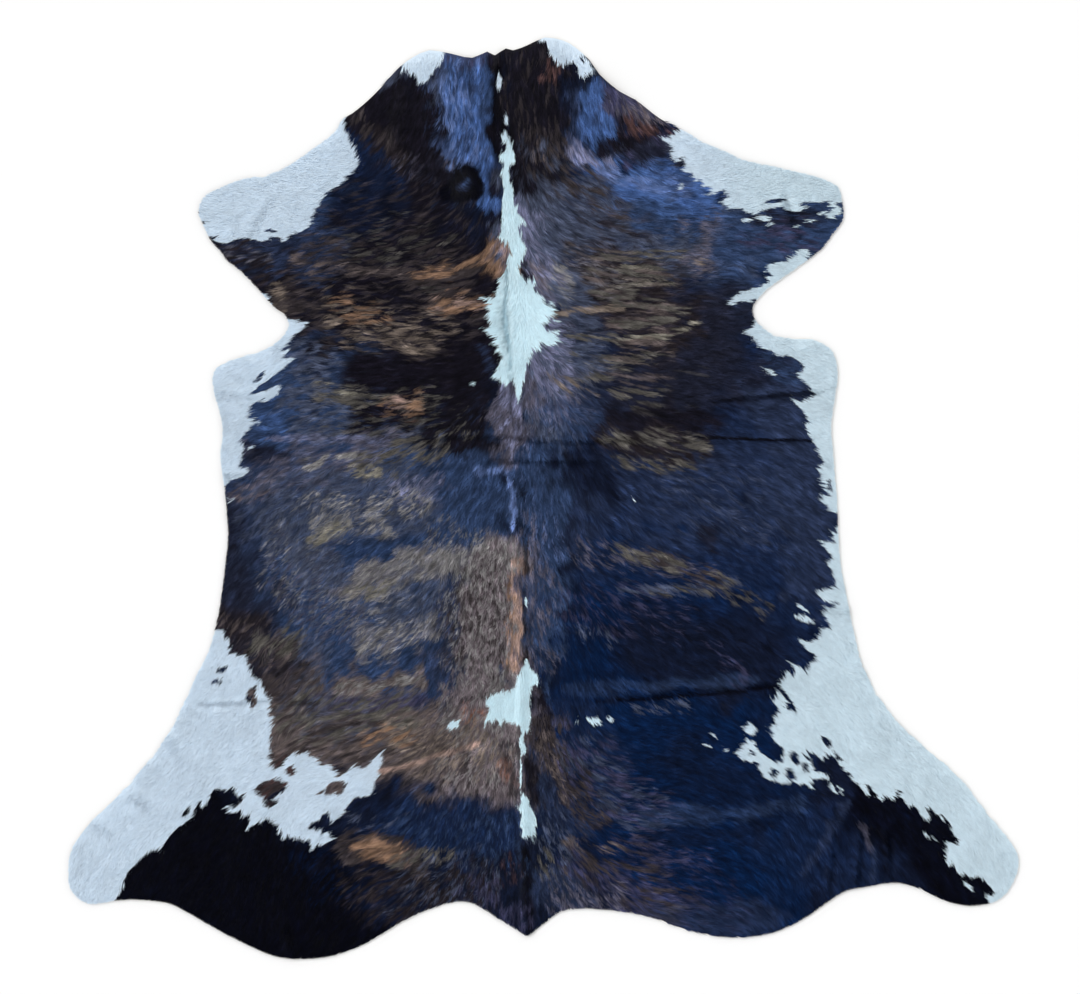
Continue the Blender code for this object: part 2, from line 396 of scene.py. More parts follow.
# Forms of strands: width, steps along the hair, share of finer strands, and how much single locks differ.
strandForms = {
    "flecks": (6 * mm, 5, 1.1, 0.4),
    "leaves": (5 * mm, 9, 0.45, 0.25),
    "waves": (4.5 * mm, 20, 0.3, 0.15),
    "specks": (5.2 * mm, 1, 1.3, 0.6),
}
strandFields = {}  # two of each form, whose mixture differs from wash to wash
for number, (form, (size, steps, fineness, _)) in enumerate(strandForms.items()):
    first = seeds["strands"] + 2 * number
    strandFields[form] = [drawnOut(size, steps, fineness, seed) for seed in (first, first + 1)]
shadeField = drawnOut(6 * mm, 5, 1.1, seeds["shade"])
driftFields = [drawnOut(26 * mm, 6, 0.15, seed) for seed in seeds["drift"]]
clouds = softNoise(70 * mm, seeds["clouds"][0]) * 0.8 + softNoise(25 * mm, seeds["clouds"][1]) * 0.6
borderField = combedNoise(softNoise(4 * mm, seeds["border"]), 5)
tuftField = combedNoise(softNoise(14 * mm, seeds["tufts"]), 6)
print("stage: outline, creases and combing worked out")


# The markings: white patches, small tufts and the brindle colours.
# White patches, in centimetres across and along. Where one meets the edge, its line runs on past the hide.
patches = {
    "neck, left": [
        (-31.4, 94.9), (-30.9, 93.6), (-29.4, 93.2), (-27.8, 92.1), (-27.0, 91.4), (-25.6, 91.4),
        (-25.0, 91.9), (-25.0, 93.2), (-24.1, 94.1), (-22.6, 95.2), (-21.9, 96.9), (-21.7, 97.8),
        (-21.5, 102.0), (-34.0, 100.0),
    ],
    "neck, right": [
        (-0.6, 101.1), (0.8, 98.9), (1.4, 97.6), (2.3, 96.3), (3.2, 95.2), (4.1, 94.9), (5.8, 96.0),
        (6.7, 95.8), (7.4, 94.9), (7.6, 93.6), (7.8, 92.5), (8.7, 92.5), (9.8, 93.0), (10.7, 93.6),
        (10.5, 94.7), (9.8, 95.8), (8.0, 96.3), (8.0, 96.9), (8.7, 97.4), (9.8, 98.7), (8.0, 104.0),
        (-1.0, 104.0),
    ],
    "left foreleg": [
        (-43.9, 83.3), (-43.7, 82.0), (-42.8, 80.2), (-42.4, 78.4), (-41.5, 76.5), (-40.6, 73.8),
        (-41.0, 72.3), (-43.2, 70.3), (-44.1, 69.2), (-45.2, 68.5), (-47.6, 66.8), (-48.3, 65.5),
        (-49.4, 64.4), (-49.6, 63.3), (-50.5, 61.7), (-51.4, 59.5), (-52.5, 58.4), (-54.9, 58.4),
        (-55.8, 57.8), (-56.2, 56.7), (-57.5, 56.2), (-58.6, 57.3), (-59.7, 57.3), (-61.3, 56.2),
        (-62.8, 56.7), (-65.0, 56.9), (-68.1, 56.7), (-69.2, 56.0), (-70.5, 55.8), (-72.5, 56.7),
        (-73.4, 57.5), (-80.0, 60.0), (-80.0, 72.0), (-60.0, 78.0), (-46.0, 88.0),
    ],
    "left armpit": [
        (-62.6, 45.4), (-61.4, 44.6), (-59.6, 42.6), (-57.8, 41.0), (-58.4, 40.4), (-63.2, 44.6),
    ],
    "left flank": [
        (-56.2, 39.5), (-55.6, 39.1), (-54.5, 39.5), (-53.6, 38.6), (-51.8, 38.6), (-51.8, 37.7),
        (-53.4, 36.6), (-54.2, 36.0), (-55.6, 34.4), (-57.3, 32.5), (-56.2, 32.0), (-56.7, 30.7),
        (-54.2, 30.7), (-55.3, 29.8), (-57.3, 28.3), (-59.1, 27.0), (-60.4, 26.1), (-61.9, 25.0),
        (-63.2, 23.0), (-61.3, 23.4), (-59.1, 24.5), (-57.5, 24.3), (-58.0, 23.2), (-59.7, 21.5),
        (-61.3, 20.8), (-61.9, 21.7), (-64.1, 20.4), (-64.6, 18.8), (-64.8, 17.5), (-64.1, 17.5),
        (-63.5, 16.2), (-65.5, 13.8), (-66.6, 12.7), (-66.1, 11.8), (-65.9, 10.5), (-66.3, 8.7),
        (-66.8, 6.7), (-65.0, 6.7), (-64.4, 6.3), (-65.2, 5.0), (-68.3, 3.9), (-69.9, 2.5), (-73.0, 1.5),
        (-77.0, 15.0), (-77.0, 31.0), (-66.0, 34.0), (-60.5, 35.5), (-58.0, 38.0),
    ],
    "left hind leg": [
        (-72.3, -28.9), (-70.1, -29.2), (-70.3, -31.1), (-69.0, -31.6), (-69.0, -33.6), (-69.2, -34.2),
        (-66.3, -34.7), (-65.0, -35.1), (-64.6, -37.7), (-63.0, -39.7), (-61.7, -40.8), (-61.1, -43.9),
        (-60.6, -45.7), (-60.2, -47.2), (-59.5, -50.7), (-60.2, -53.6), (-59.5, -56.2), (-60.2, -57.3),
        (-60.0, -58.9), (-59.1, -59.5), (-57.1, -58.9), (-56.2, -56.9), (-55.3, -56.2), (-52.3, -56.0),
        (-49.8, -57.1), (-49.4, -58.4), (-48.3, -59.1), (-47.2, -58.6), (-45.4, -60.6), (-45.2, -61.5),
        (-43.0, -60.2), (-41.3, -58.4), (-40.4, -59.5), (-39.1, -59.5), (-37.3, -57.5), (-35.5, -55.6),
        (-35.3, -56.7), (-35.8, -60.6), (-36.9, -62.2), (-37.3, -64.4), (-38.2, -65.7), (-41.9, -66.3),
        (-43.5, -68.5), (-44.6, -70.1), (-46.3, -71.4), (-46.9, -69.2), (-48.7, -69.6), (-49.1, -70.8),
        (-51.0, -71.4), (-51.4, -72.6), (-49.8, -73.2), (-48.5, -73.9), (-47.1, -73.5), (-46.1, -75.0),
        (-47.4, -75.9), (-49.3, -75.8), (-50.2, -77.3), (-51.4, -77.0), (-51.2, -75.6), (-53.0, -74.7),
        (-56.4, -74.7), (-57.8, -74.3), (-58.6, -71.6), (-60.2, -71.0), (-63.7, -71.8), (-65.2, -72.5),
        (-64.1, -70.5), (-66.8, -68.8), (-68.5, -69.4), (-70.1, -68.3), (-69.4, -67.4), (-67.9, -68.3),
        (-65.5, -66.1), (-66.8, -65.2), (-68.5, -63.7), (-69.9, -64.8), (-71.6, -63.3), (-72.7, -64.4),
        (-73.6, -67.2), (-74.9, -68.3), (-75.6, -66.8), (-77.1, -69.4), (-77.8, -71.0), (-79.3, -71.8),
        (-80.9, -72.9), (-83.3, -75.8), (-83.9, -77.1), (-85.5, -77.3), (-87.2, -78.2), (-88.8, -79.5),
        (-89.7, -80.6), (-91.0, -81.7), (-91.9, -83.3), (-92.5, -85.0), (-92.3, -85.9), (-94.3, -88.3),
        (-96.0, -93.0), (-108.0, -92.0), (-108.0, -70.0), (-90.0, -52.0), (-77.0, -33.0),
    ],
    "right foreleg, upper": [
        (30.0, 80.9), (27.6, 79.1), (25.2, 79.3), (27.4, 77.8), (28.1, 76.5), (27.8, 75.4), (29.2, 73.4),
        (29.8, 74.9), (30.9, 75.1), (30.9, 73.4), (30.5, 71.6), (32.2, 71.2), (33.3, 69.0), (34.4, 70.3),
        (35.1, 68.1), (36.6, 68.5), (36.9, 67.4), (35.3, 66.1), (38.0, 67.2), (39.3, 67.7), (40.6, 65.7),
        (38.4, 65.0), (40.4, 64.1), (41.0, 63.5), (43.5, 63.5), (44.3, 62.6), (46.5, 62.3), (47.9, 62.9),
        (49.2, 63.5), (52.7, 63.9), (53.2, 63.2), (55.2, 62.8), (57.2, 62.9), (57.6, 63.9), (55.8, 64.3),
        (57.0, 64.8), (60.5, 64.9), (63.4, 65.2), (62.6, 64.0), (64.2, 63.6), (65.2, 64.9), (69.0, 65.4),
        (69.0, 74.0), (45.0, 82.0), (32.0, 86.0),
    ],
    "right foreleg, back": [
        (41.0, 42.4), (41.0, 43.2), (42.1, 44.3), (43.2, 45.2), (47.0, 46.3), (48.7, 47.2), (49.6, 49.2),
        (48.3, 50.7), (50.5, 51.6), (52.7, 51.8), (54.5, 53.1), (56.4, 54.5), (57.5, 54.7), (58.2, 54.0),
        (57.8, 52.5), (58.0, 49.0), (50.0, 42.0), (48.5, 41.0), (47.0, 43.7), (45.4, 43.0), (43.2, 43.0),
        (41.3, 42.1),
    ],
    "right flank": [
        (46.5, 39.5), (46.1, 38.8), (45.4, 36.9), (44.3, 36.6), (45.7, 35.1), (47.2, 33.6), (47.6, 32.7),
        (49.8, 32.5), (51.8, 30.9), (52.7, 31.4), (55.3, 30.7), (56.4, 29.6), (57.3, 28.5), (56.9, 27.6),
        (55.6, 27.4), (58.2, 24.5), (59.3, 22.8), (58.9, 21.7), (56.0, 21.2), (54.0, 22.1), (56.2, 19.9),
        (57.8, 17.7), (58.2, 16.8), (57.5, 16.0), (59.1, 12.7), (60.2, 10.5), (61.5, 8.0), (60.6, 6.3),
        (60.8, 4.5), (61.5, 2.8), (62.4, 0.8), (60.4, -0.1), (61.5, -1.4), (63.0, -3.2), (64.4, -3.2),
        (70.0, -3.0), (70.0, 34.0), (60.0, 38.0), (50.0, 38.0),
    ],
    "right hind leg": [
        (64.4, -6.5), (63.3, -8.7), (63.9, -10.0), (61.1, -9.8), (62.6, -12.2), (63.5, -13.3),
        (62.2, -14.0), (63.3, -16.4), (64.4, -19.5), (63.5, -19.9), (61.3, -20.6), (59.7, -20.6),
        (61.5, -22.6), (63.7, -23.2), (64.8, -22.6), (63.3, -24.5), (62.2, -23.9), (61.7, -25.6),
        (62.8, -28.1), (62.6, -28.7), (60.8, -28.7), (60.2, -30.9), (58.9, -32.0), (56.0, -31.1),
        (57.8, -33.6), (60.0, -34.7), (60.2, -35.8), (57.8, -37.5), (57.8, -38.6), (56.4, -37.1),
        (53.4, -35.8), (55.3, -37.5), (55.3, -39.5), (53.8, -38.2), (52.3, -40.4), (51.8, -42.4),
        (50.3, -44.6), (51.6, -46.5), (50.9, -48.5), (49.8, -50.3), (50.5, -53.4), (52.7, -55.1),
        (52.5, -57.1), (50.9, -58.2), (47.0, -55.6), (46.3, -53.4), (44.8, -53.1), (42.4, -55.6),
        (42.1, -56.2), (43.5, -57.8), (47.0, -58.2), (48.1, -61.3), (52.0, -62.8), (54.2, -62.2),
        (56.4, -63.1), (57.0, -62.5), (57.9, -63.2), (58.7, -63.7), (59.1, -61.9), (60.1, -61.7),
        (63.3, -61.7), (62.1, -61.0), (61.0, -60.1), (60.3, -59.7), (59.8, -60.3), (59.0, -59.1),
        (58.6, -57.9), (57.9, -55.6), (59.4, -55.9), (60.3, -56.9), (61.1, -57.7), (61.8, -57.3),
        (62.3, -57.5), (61.9, -55.9), (63.0, -56.7), (63.9, -57.0), (63.4, -55.1), (65.0, -56.9),
        (66.1, -57.9), (64.6, -57.7), (64.6, -58.6), (65.6, -59.1), (65.9, -60.1), (67.3, -60.5),
        (67.9, -61.0), (68.1, -62.5), (69.0, -62.5), (69.5, -63.1), (70.0, -64.2), (71.3, -65.8),
        (71.4, -64.9), (71.0, -63.9), (70.4, -62.8), (71.2, -62.9), (72.2, -64.1), (73.2, -65.3),
        (73.9, -66.6), (75.1, -65.9), (77.0, -66.5), (77.6, -65.8), (77.4, -64.3), (78.7, -64.6),
        (78.3, -66.2), (79.6, -66.7), (80.0, -67.9), (81.9, -67.9), (82.5, -69.4), (84.3, -71.1),
        (85.0, -69.9), (83.8, -68.3), (84.7, -67.7), (85.9, -69.2), (88.2, -70.2), (89.4, -71.8),
        (89.9, -73.8), (91.3, -75.2), (90.9, -76.4), (88.7, -75.7), (88.4, -77.4), (88.7, -78.6),
        (88.1, -79.6), (88.9, -80.9), (89.9, -80.4), (90.8, -82.0), (91.9, -83.5), (92.5, -82.8),
        (93.7, -83.6), (94.6, -82.8), (96.7, -83.7), (97.7, -85.0), (98.8, -86.5), (98.5, -87.3),
        (97.1, -86.9), (97.1, -88.0), (98.2, -89.2), (99.0, -94.0), (110.0, -92.0), (110.0, -76.0),
        (95.0, -60.0), (80.0, -47.0), (72.0, -30.0), (70.0, -7.0),
    ],
    "spine, withers": [
        (-9.2, 80.4), (-9.6, 79.6), (-8.9, 78.6), (-8.0, 77.5), (-8.2, 76.8), (-9.4, 76.2), (-9.7, 74.6),
        (-8.6, 73.8), (-8.6, 72.4), (-9.6, 71.0), (-9.1, 69.6), (-8.7, 67.6), (-8.8, 66.4), (-9.1, 64.6),
        (-9.3, 61.6), (-9.2, 58.6), (-10.0, 57.6), (-9.3, 56.4), (-7.9, 55.6), (-7.1, 54.4), (-7.3, 53.0),
        (-8.3, 52.4), (-7.9, 51.2), (-8.3, 50.2), (-9.2, 48.8), (-10.0, 48.2), (-9.8, 47.0), (-10.2, 45.6),
        (-10.2, 44.3), (-11.6, 43.5), (-14.2, 44.4), (-12.3, 42.4), (-12.3, 40.9), (-13.1, 40.0),
        (-11.8, 39.2), (-11.5, 38.3), (-12.2, 37.2), (-14.0, 37.4), (-12.2, 36.2), (-11.2, 35.2),
        (-10.8, 33.7), (-10.0, 32.1), (-9.4, 30.6), (-9.5, 29.3), (-10.3, 28.4), (-10.7, 27.2),
        (-10.1, 26.1), (-9.1, 25.1), (-8.1, 24.7), (-7.1, 25.3), (-6.8, 26.1), (-6.2, 24.8), (-5.8, 23.6),
        (-6.2, 22.8), (-5.6, 21.6), (-5.8, 19.9), (-5.2, 21.8), (-4.9, 23.0), (-4.6, 24.8), (-4.1, 26.2),
        (-3.9, 27.7), (-3.7, 29.3), (-3.0, 30.5), (-2.1, 31.9), (-1.3, 33.1), (-0.2, 33.5), (1.9, 33.4),
        (3.0, 33.8), (3.6, 34.4), (2.9, 35.7), (3.8, 37.3), (2.2, 36.3), (0.6, 36.7), (0.2, 37.8),
        (1.0, 38.9), (1.8, 39.5), (2.8, 40.8), (1.3, 40.9), (3.1, 42.1), (1.0, 42.0), (2.4, 42.9),
        (-0.2, 42.7), (-0.4, 44.6), (-1.6, 44.2), (-1.1, 45.6), (-2.2, 45.2), (-1.6, 48.2), (-2.8, 46.9),
        (-3.0, 48.4), (-3.9, 47.3), (-4.4, 48.6), (-5.4, 49.2), (-5.4, 50.4), (-4.6, 51.8), (-4.3, 53.6),
        (-3.6, 54.4), (-4.0, 55.5), (-5.0, 56.2), (-4.8, 57.6), (-4.4, 58.9), (-5.4, 58.5), (-5.6, 59.4),
        (-4.8, 60.0), (-3.7, 60.0), (-3.9, 60.8), (-5.0, 61.9), (-6.0, 63.0), (-5.4, 64.4), (-6.5, 64.0),
        (-6.7, 66.2), (-6.5, 67.4), (-7.2, 69.4), (-7.6, 71.4), (-7.5, 73.4), (-6.1, 73.8), (-6.3, 75.3),
        (-7.0, 76.9), (-6.9, 77.4), (-7.6, 78.8), (-8.4, 80.2),
    ],
    "spine, loin": [
        (-4.0, -35.0), (-3.4, -35.8), (-3.2, -36.8), (-2.5, -38.2), (-1.3, -39.4), (-1.0, -40.6),
        (-1.7, -41.4), (-2.3, -42.2), (-2.9, -43.6), (-3.2, -45.2), (-2.8, -46.8), (-2.7, -48.4),
        (-2.8, -49.9), (-3.4, -51.0), (-4.2, -52.2), (-4.4, -53.4), (-4.0, -54.6), (-3.9, -55.8),
        (-4.8, -56.8), (-5.2, -54.6), (-5.3, -53.0), (-4.8, -51.6), (-5.4, -50.6), (-7.4, -49.9),
        (-8.2, -49.3), (-9.6, -50.3), (-10.0, -49.2), (-12.2, -48.9), (-13.0, -50.9), (-13.2, -49.8),
        (-12.4, -48.2), (-12.1, -46.7), (-12.5, -45.1), (-12.6, -44.0), (-11.4, -43.1), (-8.6, -42.6),
        (-7.2, -42.0), (-6.2, -41.0), (-5.8, -39.8), (-5.2, -38.4), (-4.2, -37.2), (-4.0, -36.2),
    ],
    "above the tail": [
        (-4.6, -64.8), (-3.6, -65.6), (-3.3, -66.6), (-3.0, -67.8), (-2.5, -68.8), (-1.9, -69.8),
        (-1.5, -71.4), (-1.8, -72.8), (-1.6, -74.2), (-2.3, -73.4), (-2.5, -75.0), (-3.0, -74.0),
        (-3.4, -75.4), (-3.9, -74.1), (-4.4, -75.0), (-4.9, -74.0), (-4.6, -73.0), (-5.2, -72.0),
        (-4.8, -70.4), (-5.1, -69.2), (-5.5, -68.2), (-5.0, -66.6),
    ],
}

# Small tufts of the other colour: across, along, length and width in centimetres, degrees, then white or not.
flecks = [
    (-59.8, 58.6, 1.8, 0.9, 0, False), (-76.0, 62.6, 1.0, 0.7, 0, False), (-74.7, 60.4, 1.0, 0.7, 0, False),
    (-72.7, 57.1, 1.0, 0.7, 0, False), (-62.2, 26.6, 3.4, 1.0, 48, False),
    (-61.5, 24.2, 5.6, 1.2, 30, False), (-63.9, 11.1, 1.4, 0.6, 20, True),
    (-69.0, -0.3, 1.6, 0.6, -40, True), (-62.4, 16.6, 1.5, 0.6, 0, True),
    (-58.9, -57.6, 2.8, 4.0, 0, False), (-60.7, -44.7, 1.4, 2.6, 25, True),
    (-59.8, -63.9, 7.3, 3.6, 10, False), (-60.0, -66.7, 3.0, 2.9, 0, False),
    (-55.3, -60.1, 2.2, 2.4, 0, False), (-45.4, -63.8, 4.0, 3.0, 0, False),
    (-47.5, -64.4, 4.0, 0.9, 18, False), (-70.5, -37.6, 2.2, 1.5, 0, False),
    (-71.6, -40.5, 2.4, 1.0, 0, False), (-78.5, -69.2, 2.2, 1.0, 45, False),
    (-63.9, -43.7, 2.6, 4.2, 0, False), (-62.4, -43.1, 2.4, 1.2, 0, True), (50.9, 65.2, 4.4, 1.0, 8, False),
    (60.6, 64.5, 4.6, 0.8, 4, False), (44.9, 60.9, 2.2, 0.9, 0, True), (48.4, 61.4, 2.9, 1.3, -12, True),
    (49.5, 60.0, 1.3, 0.7, 0, True), (56.1, 59.5, 1.5, 0.7, 0, True), (58.1, 60.8, 1.4, 0.9, 0, True),
    (60.7, 62.6, 1.4, 0.8, 0, True), (63.9, 62.6, 3.5, 2.2, 30, True), (30.4, 68.2, 0.9, 2.0, 0, True),
    (62.6, 2.9, 1.3, 2.9, 0, False), (54.2, -45.7, 1.8, 2.4, 0, False), (53.1, -43.5, 4.0, 0.9, -56, False),
    (45.4, -56.0, 1.2, 1.0, 0, False), (50.7, -60.7, 1.8, 2.0, 0, False), (54.2, -60.8, 1.6, 2.8, 0, False),
    (57.6, -59.3, 1.6, 2.0, 0, False), (57.5, -56.8, 2.8, 0.45, -44, False),
    (55.0, -57.0, 3.4, 1.5, -73, False), (62.2, -53.7, 2.6, 1.5, -58, False),
    (56.7, -24.1, 2.3, 0.7, -37, True), (57.5, -26.7, 4.6, 1.1, -17, True),
    (49.7, 27.5, 2.9, 0.9, -32, True), (45.3, -50.7, 2.4, 2.6, 0, True), (63.2, -63.6, 2.2, 1.0, -52, True),
    (65.3, -64.4, 1.0, 1.2, 0, True), (-3.8, -22.8, 0.6, 1.8, 0, True), (93.2, -85.3, 2.6, 1.1, -38, True),
    (84.0, -74.0, 1.6, 0.5, -50, True), (86.0, -75.2, 1.4, 0.5, -50, True),
    (87.9, -71.0, 1.5, 0.5, -62, True), (3.2, 38.6, 1.2, 0.7, 0, True), (-9.7, 91.1, 1.0, 4.0, 0, True),
    (-8.3, 82.9, 0.8, 2.8, 0, True), (-5.0, -60.8, 0.4, 8.0, 0, True), (-19.8, -50.1, 2.6, 1.9, 25, True),
    (11.1, -49.1, 3.1, 1.8, 0, True), (14.7, -48.7, 1.5, 1.0, 0, True), (7.4, -49.2, 0.9, 0.6, 0, True),
    (37.2, -52.1, 2.4, 0.6, -38, True), (36.0, -54.5, 0.9, 0.5, 0, True), (39.9, -55.6, 0.9, 0.6, 0, True),
    (-15.5, 25.0, 1.5, 0.5, -55, True), (19.6, -0.2, 0.4, 0.4, 0, True),
]

# Hair colours as a screen shows them: red, green, blue.
# The blue in the dark tones is partly painted bluish sheen on black hair; the two sheen blues, full and pale,
# are painted sheen outright.
tones = {
    "jet": (3, 4, 15), "soot": (20, 18, 28), "ink": (29, 32, 48), "midnight": (15, 23, 44),
    "deep sea": (5, 28, 63), "navy": (22, 37, 68), "dusk": (42, 53, 80), "steel": (48, 66, 100),
    "sheen blue": (70, 99, 154), "pale sheen highlight": (98, 119, 168), "lilac": (124, 127, 158), "slate": (74, 82, 104),
    "violet": (62, 62, 90), "grey violet": (92, 90, 106), "ash": (102, 100, 108), "mauve": (116, 106, 112),
    "umber": (38, 33, 38), "bark": (60, 54, 56), "brown": (98, 88, 87), "tan": (122, 110, 101),
    "sand": (136, 134, 134), "straw": (130, 126, 116), "olive": (91, 88, 84), "copper": (142, 113, 93),
    "rust": (82, 60, 60), "chestnut": (124, 86, 72), "fawn": (168, 142, 132), "white": (206, 222, 236),
    "grey white": (201, 219, 229), "aqua white": (210, 235, 244),
}

# How a colour covers: the strands that it follows, how much it is broken up by them, and how softly.
kinds = {
    "wash": ("flecks", 0.2, 0.45),
    "mottle": ("flecks", 0.65, 0.35),
    "fleck": ("flecks", 1.0, 0.26),
    "leaf": ("leaves", 1.0, 0.24),
    "band": ("leaves", 0.75, 0.3),
    "wave": ("waves", 1.0, 0.2),
    "speck": ("specks", 1.0, 0.26),
}

